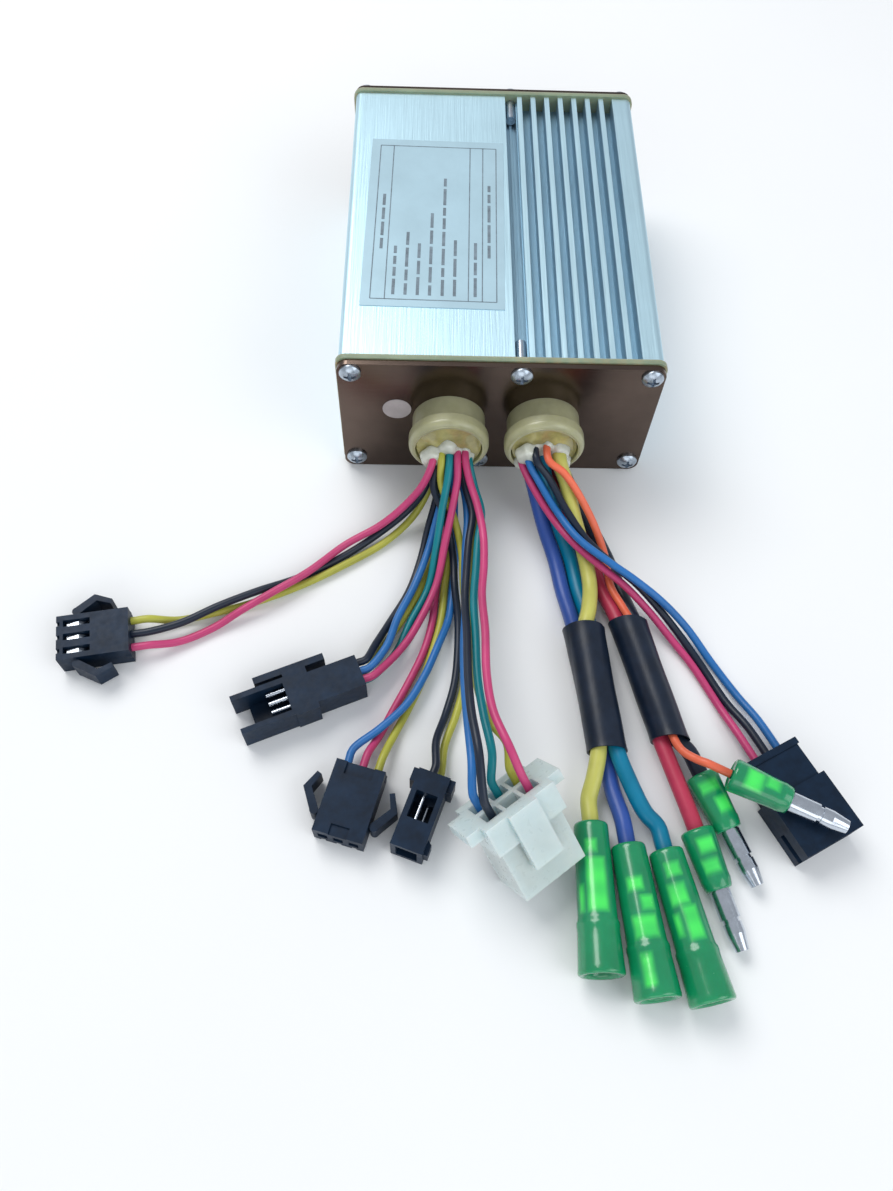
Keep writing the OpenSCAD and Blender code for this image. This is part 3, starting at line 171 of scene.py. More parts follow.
ROUTES = {
    "throttle_yellow": (
        grommet_exit(-13.5, 11.9)
        + [(-16.2, -60, 6.4), (-19.4, -63.5, 2.6), (-25.5, -69, 1), (-34, -74.8, 1),
           (-44, -80.6, 1), (-54.5, -85.2, 1), (-64, -88.2, 1), (-70, -89.6, 1)]
        + plug_end(THROTTLE, 2)
    ),
    "throttle_black": (
        grommet_exit(-14.3, 13.5)
        + [(-16.4, -60, 9.5), (-20, -62.5, 5), (-26, -66.5, 2), (-34, -72.3, 1), (-44, -78.3, 1),
           (-53, -82.8, 2.4), (-61, -87, 3.1), (-68.5, -91.2, 3.1)]
        + plug_end(THROTTLE, 1)
    ),
    "throttle_red": (
        grommet_exit(-14.4, 16.9)
        + [(-16.5, -60.5, 12.8), (-20.5, -63, 8), (-26, -66, 4.2), (-34, -70.3, 2.3),
           (-42, -78, 3), (-50, -83.8, 3.2), (-56, -87.6, 2.4), (-62, -91.4, 1.1), (-69, -95, 1.4)]
        + plug_end(THROTTLE, 0)
    ),
    "display_black": (
        grommet_exit(-12.5, 13.5)
        + [(-13.4, -60.5, 7.8), (-15.2, -66.5, 3.8), (-16.8, -73.5, 1.6), (-19.3, -81.5, 1),
           (-23.2, -89.5, 1.8), (-26.2, -96, 3.6)]
        + shroud_end(DISPLAY, DISPLAY_WAYS, 0, 0)
    ),
    "display_yellow": (
        grommet_exit(-11.6, 11.8)
        + [(-12, -60.5, 6), (-13.2, -66.5, 2.8), (-14.6, -73.5, 1), (-17, -81.5, 1),
           (-21.2, -89.5, 1), (-25.3, -96.5, 1.4)]
        + shroud_end(DISPLAY, DISPLAY_WAYS, 3, 0)
    ),
    "display_blue": (
        grommet_exit(-11.6, 15.2)
        + [(-11.9, -60.5, 9.8), (-13.5, -66.5, 6.2), (-15.4, -73.5, 4), (-18.2, -81.5, 3.2),
           (-21.6, -89.5, 3.6), (-23.8, -97, 4.8)]
        + shroud_end(DISPLAY, DISPLAY_WAYS, 1, 0)
    ),
    "display_green": (
        grommet_exit(-10.7, 16.9)
        + [(-11, -60.5, 15.4), (-12.2, -66.5, 11.5), (-13.4, -73.5, 6.2), (-15, -81.5, 2.8),
           (-18.8, -89.5, 1.6), (-22, -97.2, 1.6)]
        + shroud_end(DISPLAY, DISPLAY_WAYS, 4, 0)
    ),
    "display_red": (
        grommet_exit(-8.9, 16.9)
        + [(-8.9, -60.5, 14.8), (-10, -66.5, 11.4), (-11.5, -73.5, 7.6), (-13.2, -81.5, 4.4),
           (-16.6, -89.5, 3.2), (-20.4, -96.5, 3.4)]
        + shroud_end(DISPLAY, DISPLAY_WAYS, 2, 0)
    ),
    "sensor_blue": (
        grommet_exit(-9.8, 15.2)
        + [(-9.4, -60.5, 10.6), (-9.2, -66.5, 5.6), (-9, -73.5, 1.8), (-9.6, -81.5, 1.1),
           (-10.4, -88.5, 1.6), (-12.8, -96, 3), (-15.6, -103, 3), (-19.2, -109.5, 3.2),
           (-24.5, -115, 3.4)]
        + plug_end(SENSOR, 2)
    ),
    "sensor_red": (
        grommet_exit(-10.7, 13.5)
        + [(-10.5, -60.5, 8), (-11.4, -66.5, 5), (-12.4, -73.5, 2.6), (-13.3, -81.5, 1),
           (-14.1, -89.5, 1), (-15.7, -96, 1), (-18.6, -103, 1), (-22, -110, 1), (-24.8, -116, 1.4)]
        + plug_end(SENSOR, 1)
    ),
    "sensor_yellow": (
        grommet_exit(-9.8, 11.8)
        + [(-9.7, -60.5, 5.6), (-10.6, -66.5, 2.8), (-10.6, -73.5, 1), (-11.4, -81.5, 1),
           (-12.2, -89.5, 1), (-13.8, -96, 1), (-16, -103, 1), (-19, -110, 1), (-21.8, -116, 1.6)]
        + plug_end(SENSOR, 0)
    ),
    "brake_black": (
        grommet_exit(-13.4, 15.2)
        + [(-14.2, -60.5, 12.2), (-11.4, -66.5, 8.8), (-9.6, -73.5, 4.6), (-9.1, -81.5, 3.4),
           (-8.3, -89.5, 1.6), (-9, -103, 1), (-11, -111, 1.4), (-13, -118, 4)]
        + shroud_end(BRAKE, BRAKE_WAYS, 0, 0)
    ),
    "brake_yellow": (
        grommet_exit(-12.5, 16.9)
        + [(-12.4, -60.5, 12.8), (-9.5, -66.5, 8.8), (-7.6, -73.5, 5.2), (-7.2, -81.5, 4.2),
           (-6.4, -89.5, 2.4), (-6.9, -103, 1.2), (-8.8, -111, 1), (-11.2, -118, 1.6)]
        + shroud_end(BRAKE, BRAKE_WAYS, 1, 0)
    ),
    "hall_blue": (
        grommet_exit(-8.9, 13.5)
        + [(-7.1, -60.5, 9.9), (-6.4, -66.5, 8.2), (-6.8, -73.5, 7), (-7, -81.5, 6.6),
           (-7, -89.5, 6.8), (-7.4, -98.5, 8.4), (-7.4, -109, 11.2), (-7, -117.5, 14),
           (-6.4, -126, 16)]
        + hall_end(0)
    ),
    "hall_black": (
        grommet_exit(-8, 15.2)
        + [(-7, -60.5, 12.3), (-5.4, -66.5, 10.6), (-6.2, -73.5, 9.8), (-6.8, -81.5, 10.6),
           (-7.2, -89.5, 11.8), (-7, -98.5, 14.6), (-7, -109, 17.6), (-6.6, -117.5, 20.2),
           (-5.4, -126, 21.8)]
        + hall_end(3)
    ),
    "hall_green": (
        grommet_exit(-6.2, 15.2)
        + [(-5, -60.5, 12.5), (-3.4, -66.5, 11.2), (-4.2, -73.5, 10.6), (-4.8, -81.5, 11.2),
           (-5.4, -89.5, 12.4), (-5.2, -98.5, 14), (-5, -109, 15.8), (-4, -117.5, 17.4),
           (-2.6, -125, 17.6)]
        + hall_end(1)
    ),
    "hall_yellow": (
        grommet_exit(-7.1, 13.5)
        + [(-5.2, -60.5, 10.3), (-4.2, -66.5, 8.6), (-4.8, -73.5, 7.8), (-5.2, -81.5, 8.6),
           (-6.2, -89.5, 9.4), (-6.2, -98.5, 10.6), (-5, -109, 12.8), (-2.8, -117.5, 15),
           (0.4, -122.5, 16.2)]
        + hall_end(2)
    ),
    "hall_red": (
        grommet_exit(-7.1, 16.9)
        + [(-6.2, -60.5, 14.8), (-4.4, -66.5, 13.6), (-3.2, -73.5, 13), (-3.2, -81.5, 13.6),
           (-3.8, -89.5, 14.8), (-3.4, -98.5, 16.6), (-3.4, -109, 18.4), (-2.4, -117.5, 20.2),
           (0.4, -125, 21.2)]
        + hall_end(4)
    ),
    "phase_blue": (
        grommet_exit(7.6, 12.9)
        + [(9.4, -60.5, 8.8), (11.5, -66.5, 4.6), (13.8, -73.5, 2.4), (15.2, -81.5, 2),
           (16.4, -88, 3)]
        + through(PHASE_SHRINK, 2.06, 210, 60)
        + [(22.8, -127, 2.3)]
        + bullet_end(PHASE_BLUE)
    ),
    "phase_green": (
        grommet_exit(10.3, 16.1)
        + [(11.6, -60.5, 11.7), (14.6, -66.5, 6.2), (17.4, -73.5, 2.6), (18.7, -81.5, 2),
           (20, -88, 3)]
        + through(PHASE_SHRINK, 2.06, -30, 60)
        + [(25.8, -126, 4.9), (28.8, -132.4, 3.8)]
        + bullet_end(PHASE_GREEN)
    ),
    "phase_yellow": (
        grommet_exit(13.9, 17.3)
        + [(15.6, -60.5, 14.2), (17.4, -66.5, 10.4), (19.6, -73.5, 6.9), (20.8, -81.5, 5.4),
           (20, -88, 6.6)]
        + through(PHASE_SHRINK, 2.06, 90, 60)
        + [(18.9, -125.4, 4.6)]
        + bullet_end(PHASE_YELLOW)
    ),
    "supply_red": (
        grommet_exit(11.2, 12.7)
        + [(14.8, -60.5, 7.4), (18.6, -66.5, 3.4), (21.8, -73.5, 2.2), (24.2, -81.5, 2),
           (26, -87, 3.2)]
        + through(SUPPLY_SHRINK, 1.9, 198, 0)
        + [(35.5, -124.8, 3.9)]
        + bullet_end(SUPPLY_RED)
    ),
    "supply_black": (
        grommet_exit(14.6, 13.7)
        + [(18.2, -60.5, 8.8), (22.4, -66.5, 4.4), (25.9, -73.5, 2.2), (28.2, -81.5, 2),
           (29.6, -87, 3.2)]
        + through(SUPPLY_SHRINK, 1.9, -18, 0)
        + bullet_end(SUPPLY_BLACK)
    ),
    "supply_orange": (
        grommet_exit(11.2, 19.4)
        + [(14.6, -60.5, 18), (20.2, -66.5, 12.4), (24.2, -73.5, 6.8), (25.6, -81.5, 4.8),
           (27.6, -87, 5.6)]
        + through(SUPPLY_SHRINK, 2.2, 90, 0)
        + [(36.4, -120.8, 8.2), (38.8, -123.2, 9.8)]
        + bullet_end(SUPPLY_ORANGE)
    ),
    "aux_red": (
        grommet_exit(5.6, 15.6)
        + [(8.3, -60.5, 12.4), (12.4, -66.5, 9.8), (17.2, -73.5, 9.6), (23, -79, 9),
           (28.2, -83, 7.6), (34, -88, 4.4), (38.5, -93, 2), (42.5, -98.5, 1.1), (47.5, -108.5, 1),
           (50.2, -115, 2.4)]
        + shroud_end(AUX, AUX_WAYS, 0, -AUX_RECESS)
    ),
    "aux_black": (
        grommet_exit(8.6, 18.8)
        + [(11.4, -60.5, 16.2), (15.2, -66.5, 13), (20.2, -73.5, 10.6), (25.8, -79, 9.6),
           (30.6, -82.6, 8), (36, -87.4, 5), (40.4, -92.4, 2.6), (44.6, -98.6, 1),
           (49, -107.5, 1.2), (52.4, -113.6, 2.6)]
        + shroud_end(AUX, AUX_WAYS, 1, -AUX_RECESS)
    ),
    "aux_blue": (
        grommet_exit(7, 17.2)
        + [(9.4, -60.5, 14.6), (13.4, -66.5, 11.9), (17.8, -73.5, 11.8), (24, -79, 11.5),
           (29.4, -82.6, 10.4), (35.8, -86.4, 7.4), (41.8, -91, 3.6), (47, -98, 1),
           (51.6, -106, 1.2), (54.8, -112, 2.6)]
        + shroud_end(AUX, AUX_WAYS, 2, -AUX_RECESS)
    ),
}

# ---- Materials ----

# Depths below the top between which the grooves' painted shade comes in, in millimetres
GROOVE_SHADE = (0.2, 1.2)


def node(tree, kind, **inputs):
    """A new node with the given input values."""
    made = tree.nodes.new(kind)
    for name, value in inputs.items():
        made.inputs[name.replace("_", " ")].default_value = value
    return made


def material(name, colour, roughness, metallic=0.0, vary=0.12, grain=(900, 900, 900), bump=0.08,
             mottle=120, rough_vary=0.1, alpha=1.0, **sockets):
    """A principled material whose colour, roughness and relief come from procedural noise."""
    mat = bpy.data.materials.new(name)
    mat.use_nodes = True
    tree = mat.node_tree
    shader = tree.nodes["Principled BSDF"]
    place = node(tree, "ShaderNodeTexCoord")
    blotch = node(tree, "ShaderNodeTexNoise", Scale=mottle, Detail=4.0, Roughness=0.6)
    stretch = node(tree, "ShaderNodeMapping", Scale=grain)
    fine = node(tree, "ShaderNodeTexNoise", Scale=1.0, Detail=3.0, Roughness=0.55)
    ramp = tree.nodes.new("ShaderNodeValToRGB")
    dark, light = ramp.color_ramp.elements
    dark.position, light.position = 0.3, 0.7
    dark.color = (*[c * (1 - vary) for c in colour], 1)
    light.color = (*[min(1, c * (1 + vary)) for c in colour], 1)
    spread = node(tree, "ShaderNodeMapRange", To_Min=max(0.02, roughness - rough_vary),
                  To_Max=min(1.0, roughness + rough_vary))
    relief = node(tree, "ShaderNodeBump", Strength=bump, Distance=0.0002)
    link = tree.links.new
    link(place.outputs["Object"], blotch.inputs["Vector"])
    link(place.outputs["Object"], stretch.inputs["Vector"])
    link(stretch.outputs["Vector"], fine.inputs["Vector"])
    link(blotch.outputs["Fac"], ramp.inputs["Fac"])
    link(ramp.outputs["Color"], shader.inputs["Base Color"])
    link(fine.outputs["Fac"], spread.inputs["Value"])
    link(spread.outputs["Result"], shader.inputs["Roughness"])
    link(fine.outputs["Fac"], relief.inputs["Height"])
    link(relief.outputs["Normal"], shader.inputs["Normal"])
    shader.inputs["Metallic"].default_value = metallic
    shader.inputs["Alpha"].default_value = alpha
    for socket, value in sockets.items():
        shader.inputs[socket.replace("_", " ")].default_value = value
    return mat


def blend_colour(mat, weight, colour, blend_type):
    """Blends a colour into a material's base colour by a weight, an output of one of its nodes."""
    tree = mat.node_tree
    shader = tree.nodes["Principled BSDF"]
    blend = tree.nodes.new("ShaderNodeMixRGB")
    blend.blend_type = blend_type
    blend.inputs["Color2"].default_value = (*colour, 1)
    tree.links.new(weight, blend.inputs["Fac"])
    tree.links.new(shader.inputs["Base Color"].links[0].from_socket, blend.inputs["Color1"])
    tree.links.new(blend.outputs["Color"], shader.inputs["Base Color"])


def paint_groove_shade(mat, shade_tint):
    """Paints shade into an aluminium material between the fins: a darker tint, multiplied into its colour
    below the fins' tops.
    """
    tree = mat.node_tree
    left, right = GROOVES_X
    place = node(tree, "ShaderNodeTexCoord")
    split = node(tree, "ShaderNodeSeparateXYZ")
    depth = node(tree, "ShaderNodeMapRange", From_Min=(BODY_H - GROOVE_SHADE[0]) * MM,
                 From_Max=(BODY_H - GROOVE_SHADE[1]) * MM)
    inside = tree.nodes.new("ShaderNodeMath")
    inside.operation = "COMPARE"
    inside.inputs[1].default_value = (left + right) / 2 * MM
    inside.inputs[2].default_value = (right - left) / 2 * MM
    both = tree.nodes.new("ShaderNodeMath")
    both.operation = "MULTIPLY"
    link = tree.links.new
    link(place.outputs["Object"], split.inputs["Vector"])
    link(split.outputs["Z"], depth.inputs["Value"])
    link(split.outputs["X"], inside.inputs[0])
    link(depth.outputs["Result"], both.inputs[0])
    link(inside.outputs["Value"], both.inputs[1])
    blend_colour(mat, both.outputs["Value"], shade_tint, "MULTIPLY")


extruded = material("extruded_aluminium", (0.54, 0.76, 0.86), 0.42, 0.8, vary=0.05,
                    grain=(2600, 60, 2600), bump=0.25, mottle=40, rough_vary=0.08)
# Painted shade: this tint darkens the grooves between the fins.
paint_groove_shade(extruded, (0.56, 0.62, 0.68))
# Painted reflection: the polished plate's dark brown colour and broad blotches stand in for a brown surface
# mirrored in it.
polished = material("polished_plate", (0.115, 0.085, 0.07), 0.22, 1.0, vary=0.3,
                    grain=(60, 900, 3000), bump=0.05, mottle=35, rough_vary=0.06)
gasket = material("gasket_rubber", (0.25, 0.28, 0.18), 0.5, vary=0.15, Subsurface_Weight=0.2)
zinc = material("zinc_plate", (0.42, 0.48, 0.55), 0.3, 0.95, vary=0.15, mottle=700)
label_film = material("label_film", (0.385, 0.55, 0.635), 0.42, 0.2, vary=0.07, mottle=60, bump=0.06)
label_ink = material("label_ink", (0.15, 0.20, 0.24), 0.6, vary=0.3, mottle=500)
sticker_paper = material("sticker_paper", (0.40, 0.36, 0.36), 0.7, vary=0.1, mottle=400, bump=0.3)
grommet_rubber = material("grommet_rubber", (0.37, 0.365, 0.215), 0.34, vary=0.2, mottle=110,
                          Subsurface_Weight=0.35, Subsurface_Radius=(0.004, 0.004, 0.002),
                          Subsurface_Scale=1.0, Coat_Weight=0.4, Coat_Roughness=0.15)
amber_glue = material("amber_sealant", (0.40, 0.36, 0.14), 0.12, vary=0.35, mottle=220, bump=0.1,
                      Subsurface_Weight=0.4, Subsurface_Radius=(0.003, 0.003, 0.001),
                      Subsurface_Scale=1.0, Coat_Weight=0.8, Coat_Roughness=0.06)
milky_glue = material("milky_sealant", (0.62, 0.64, 0.56), 0.16, vary=0.14, mottle=260, bump=0.1,
                      Subsurface_Weight=0.6, Subsurface_Radius=(0.003, 0.003, 0.003),
                      Subsurface_Scale=1.0, Coat_Weight=0.7, Coat_Roughness=0.08)
solder_mask = material("solder_mask", (0.03, 0.16, 0.07), 0.35, vary=0.2)
epoxy = material("moulded_epoxy", (0.02, 0.02, 0.022), 0.55, vary=0.2, bump=0.2)
pad_rubber = material("pad_rubber", (0.45, 0.47, 0.5), 0.7)
capacitor_film = material("capacitor_film", (0.03, 0.05, 0.16), 0.25)
black_nylon = material("black_nylon", (0.004, 0.015, 0.036), 0.46, vary=0.35, mottle=260,
                       bump=0.14, rough_vary=0.12, Specular_IOR_Level=0.2)
white_nylon = material("natural_nylon", (0.56, 0.66, 0.66), 0.3, vary=0.06, mottle=120, bump=0.05,
                       Subsurface_Weight=0.6, Subsurface_Radius=(0.004, 0.005, 0.006),
                       Subsurface_Scale=1.0, Coat_Weight=0.25, Coat_Roughness=0.2)
tin = material("tin_plate", (0.60, 0.65, 0.72), 0.2, 1.0, vary=0.1, mottle=500, bump=0.03)
shrink_film = material("heatshrink_film", (0.007, 0.014, 0.030), 0.36, vary=0.3, mottle=250,
                       grain=(900, 300, 900), bump=0.2, Specular_IOR_Level=0.35)


def insulation(name, colour):
    """Soft PVC, a little glossy."""
    return material(name, colour, 0.36, vary=0.14, mottle=90, grain=(700, 700, 700), bump=0.12,
                    rough_vary=0.08, Specular_IOR_Level=0.4, Subsurface_Weight=0.08,
                    Subsurface_Radius=(0.002, 0.002, 0.002), Subsurface_Scale=0.5)


PVC = {
    "red": insulation("pvc_red", (0.52, 0.05, 0.17)),
    "black": insulation("pvc_black", (0.008, 0.016, 0.034)),
    "yellow": insulation("pvc_yellow", (0.42, 0.42, 0.06)),
    "green": insulation("pvc_teal", (0.0, 0.20, 0.24)),
    "blue": insulation("pvc_blue", (0.02, 0.15, 0.43)),
    "orange": insulation("pvc_orange", (0.78, 0.15, 0.075)),
    "power_red": insulation("pvc_power_red", (0.48, 0.04, 0.09)),
    "power_blue": insulation("pvc_power_blue", (0.03, 0.08, 0.33)),
    "power_yellow": insulation("pvc_power_yellow", (0.52, 0.51, 0.12)),
    "power_green": insulation("pvc_power_green", (0.0, 0.19, 0.33)),
}


def sleeve_material():
    """Soft green PVC: a point attribute on each sleeve mixes in bright green, a painted highlight standing
    in for light off the metal inside.
    """
    mat = material("green_sleeve", (0.004, 0.25, 0.10), 0.22, vary=0.14, mottle=120, bump=0.06,
                   Coat_Weight=0.5, Coat_Roughness=0.12, Subsurface_Weight=0.35,
                   Subsurface_Radius=(0.001, 0.004, 0.002), Subsurface_Scale=1.0)
    painted_highlight = mat.node_tree.nodes.new("ShaderNodeAttribute")
    painted_highlight.attribute_name = "painted_highlight"
    # Painted highlight: bright green mixed in where the attribute is high.
    blend_colour(mat, painted_highlight.outputs["Fac"], (0.07, 0.85, 0.13), "MIX")
    return mat


green_sleeve = sleeve_material()

# ---- Wires ----

# The CAD pieces at the far end of each harness
THROTTLE_END = ("throttle_plug", "throttle_latch_left", "throttle_latch_right", "socket_contacts")
SENSOR_END = ("sensor_plug", "sensor_latch_left", "sensor_latch_right", "socket_contacts")
DISPLAY_END = ("display_shroud", "pin_contacts")
BRAKE_END = ("brake_shroud", "pin_contacts")
AUX_END = ("aux_shroud", "pin_contacts")
HALL_END = ("hall_plug", "hall_contacts")
BULLET_END = ("bullet_contacts",)

# Each wire's diameter in millimetres, length in metres, colour, how stiff it is, and its far end
WIRES = {
    "throttle_yellow": (SIGNAL_D, 0.095, "yellow", "medium", THROTTLE_END),
    "throttle_black": (SIGNAL_D, 0.095, "black", "medium", THROTTLE_END),
    "throttle_red": (SIGNAL_D, 0.098, "red", "medium", THROTTLE_END),
    "display_black": (SIGNAL_D, 0.068, "black", "medium", DISPLAY_END),
    "display_yellow": (SIGNAL_D, 0.069, "yellow", "medium", DISPLAY_END),
    "display_blue": (SIGNAL_D, 0.069, "blue", "medium", DISPLAY_END),
    "display_green": (SIGNAL_D, 0.071, "green", "medium", DISPLAY_END),
    "display_red": (SIGNAL_D, 0.072, "red", "medium", DISPLAY_END),
    "sensor_blue": (SIGNAL_D, 0.093, "blue", "medium", SENSOR_END),
    "sensor_red": (SIGNAL_D, 0.089, "red", "medium", SENSOR_END),
    "sensor_yellow": (SIGNAL_D, 0.089, "yellow", "medium", SENSOR_END),
    "brake_black": (SIGNAL_D, 0.09, "black", "medium", BRAKE_END),
    "brake_yellow": (SIGNAL_D, 0.091, "yellow", "medium", BRAKE_END),
    "hall_blue": (SIGNAL_D, 0.099, "blue", "medium", HALL_END),
    "hall_black": (SIGNAL_D, 0.102, "black", "medium", HALL_END),
    "hall_green": (SIGNAL_D, 0.096, "green", "medium", HALL_END),
    "hall_yellow": (SIGNAL_D, 0.094, "yellow", "medium", HALL_END),
    "hall_red": (SIGNAL_D, 0.097, "red", "medium", HALL_END),
    "phase_blue": (POWER_D, 0.104, "power_blue", "stiff", BULLET_END),
    "phase_green": (POWER_D, 0.108, "power_green", "stiff", BULLET_END),
    "phase_yellow": (POWER_D, 0.102, "power_yellow", "stiff", BULLET_END),
    "supply_red": (POWER_D, 0.104, "power_red", "stiff", BULLET_END),
    "supply_black": (POWER_D, 0.094, "black", "stiff", BULLET_END),
    "supply_orange": (SIGNAL_D, 0.103, "orange", "medium", BULLET_END),
    "aux_red": (SIGNAL_D, 0.105, "red", "medium", AUX_END),
    "aux_black": (SIGNAL_D, 0.104, "black", "medium", AUX_END),
    "aux_blue": (SIGNAL_D, 0.106, "blue", "medium", AUX_END),
}


def wire(name):
    """One insulated wire as a round curve along its route."""
    diameter, length, colour, stiffness, far_pieces = WIRES[name]
    data = bpy.data.curves.new(name + "_wire", "CURVE")
    data.dimensions = "3D"
    points = along(ROUTES[name], ROUTE_STEP)
    line = data.splines.new("POLY")
    line.points.add(len(points) - 1)
    for point, place in zip(line.points, points):
        point.co = (*(place * MM), 1)
    line.use_smooth = True
    data.bevel_depth = diameter / 2 * MM
    data.bevel_resolution = 4
    data.use_fill_caps = True
    data.materials.append(PVC[colour])
    made = bpy.data.objects.new(name + "_wire", data)
    bpy.context.collection.objects.link(made)
    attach(made, BODY)
    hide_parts(name)
    return made


wires = {name: wire(name) for name in WIRES}

# ---- Mesh helpers ----


def mesh_piece(name, bm, mat, smooth_angle=40, body=BODY):
    """Turns a bmesh drawn in millimetres into a piece that rides on a body."""
    bmesh.ops.recalc_face_normals(bm, faces=bm.faces)
    data = bpy.data.meshes.new(name)
    bm.to_mesh(data)
    bm.free()
    data.transform(Matrix.Scale(MM, 4))
    for face in data.polygons:
        face.use_smooth = True
    data.set_sharp_from_angle(angle=math.radians(smooth_angle))
    data.materials.append(mat)
    made = bpy.data.objects.new(name, data)
    bpy.context.collection.objects.link(made)
    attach(made, body)
    return made


def rings_to_bmesh(rings, closed=True):
    """Skins equal rings of points, and joins the last ring to the first when closed."""
    bm = bmesh.new()
    rows = [[bm.verts.new(p) for p in ring] for ring in rings]
    pairs = zip(rows, rows[1:] + rows[:1]) if closed else zip(rows, rows[1:])
    for a, b in pairs:
        for i in range(len(a)):
            j = (i + 1) % len(a)
            bm.faces.new((a[i], a[j], b[j], b[i]))
    return bm


def soften(made, width, segments=2, angle=35):
    """Rounds a piece's edges a little, so that they catch the light."""
    edge = made.modifiers.new("edges", "BEVEL")
    edge.width = width * MM
    edge.segments = segments
    edge.limit_method = "ANGLE"
    edge.angle_limit = math.radians(angle)
    edge.harden_normals = True
    edge.use_clamp_overlap = True


def paint(names, mat):
    """Gives CAD nodes a material of their own."""
    for name in names:
        slots = NODES[name].material_slots
        for material_slot in slots:
            material_slot.link = "OBJECT"
            material_slot.material = mat


# ---- Bullet connectors ----

SLEEVE_STEPS = 72
# Soft edge of a painted highlight patch: its width along the sleeve, in millimetres, and around it, in
# degrees
HIGHLIGHT_EDGE = (1.1, 14)


def bullet_sleeve(name, pose, profile, highlight_patches):
    """Turned sleeve. profile lists (distance along, outer radius, inner radius); patches lists
    (from, to, angle, half width) of painted highlights, bright patches that stand in for light off the metal
    inside."""
    rings, painted_highlight = [], []

    def ring(x, r):
        angles = [k * math.tau / SLEEVE_STEPS for k in range(SLEEVE_STEPS)]
        rings.append([placed(pose, (x, r * math.cos(a), r * math.sin(a))) for a in angles])
        for a in angles:
            highlight_strength = 0
            for start, end, middle, half in highlight_patches:
                along_it = min(x - start, end - x) / HIGHLIGHT_EDGE[0]
                across_it = (half - abs(math.degrees(a) - middle)) / HIGHLIGHT_EDGE[1]
                ripple = 0.85 + 0.15 * math.sin(1.3 * x + middle)
                highlight_strength = max(highlight_strength, ripple * min(1, along_it, across_it))
            painted_highlight.append(highlight_strength)

    for x, outer, inner in profile:
        ring(x, outer)
    for x, outer, inner in reversed(profile):
        ring(x, inner)
    made = mesh_piece(name, rings_to_bmesh(rings), green_sleeve, smooth_angle=50)
    attribute = made.data.attributes.new("painted_highlight", "FLOAT", "POINT")
    attribute.data.foreach_set("value", painted_highlight)
    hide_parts("bullet_sleeves")
    return made


def socket_profile():
    """Wire end, slow taper, a bead where the wide mating end starts, then its rounded lip."""
    rows = [(0.25, 2.35, 1.85), (0, 2.9, 1.95), (0.15, 3.2, 2.0), (0.5, 3.38, 2.1)]
    rows += [(0.5 * i, 3.4 + 0.011 * i, 2.6) for i in range(2, 37)]
    rows += [(18.6, 3.86, 2.6), (19.1, 4.08, 2.6), (19.7, 4.12, 2.6), (20.2, 4.06, 2.6)]
    rows += [(x, 4.0 + 0.052 * (x - 20), 2.7) for x in range(21, 28)]
    rows += [(27.9, 4.44, 2.9), (28.3, 4.36, 3.2), (28.5, 4.1, 3.6)]
    return rows


def tip_profile(bore):
    """Rolled wire end, straight taper, then a bead before the metal tip."""
    rows = [(0.25, 2.3, bore), (0, 2.85, bore), (0.2, 3.2, bore), (0.6, 3.36, bore)]
    rows += [(0.5 * i, 3.4 - 0.026 * i, max(bore, 1.85)) for i in range(2, 19)]
    rows += [(9.6, 2.93, 1.9), (10.1, 2.99, 1.9), (10.6, 2.9, 1.9), (11.4, 2.74, 1.9)]
    rows += [(11.8, 2.62, 1.95), (12, 2.35, 2)]
    return rows


# Each bullet's pose, sleeve profile and painted highlight patches, which lie on the sleeve's upper side
BULLETS = {
    "phase_yellow": (PHASE_YELLOW, socket_profile(),
                     [(3.5, 6.8, 104, 24), (7, 18, 94, 36), (12, 18, 146, 16)]),
    "phase_blue": (PHASE_BLUE, socket_profile(),
                   [(6.4, 9.8, 104, 30), (10, 13.6, 76, 26), (13.6, 18.4, 96, 42), (20.5, 27, 112, 20)]),
    "phase_green": (PHASE_GREEN, socket_profile(),
                    [(2.6, 6, 100, 30), (6.6, 11.4, 108, 34), (11, 18, 88, 28), (12, 17, 134, 16)]),
    "supply_red": (SUPPLY_RED, tip_profile(1.8), [(1.6, 5.4, 92, 36), (5.8, 9.2, 102, 38)]),
    "supply_black": (SUPPLY_BLACK, tip_profile(1.8), [(1.4, 4.6, 102, 42), (5, 9.2, 80, 34)]),
    "supply_orange": (SUPPLY_ORANGE, tip_profile(0.95), [(2, 6.4, 97, 44), (6, 9.4, 76, 30)]),
}
sleeves = {name: bullet_sleeve(name + "_sleeve", *BULLETS[name]) for name in BULLETS}

# ---- Heat-shrink: a thin film drawn in over the wires under it ----


SHRINK_STEPS = 64
SHRINK_ROWS = 40
SHRINK_FILM = 0.4
SHRINK_GAP = 0.03
# How far the film is drawn in to the wires, from 0 for a plain tube to 1
SHRINK_PULL = 0.25


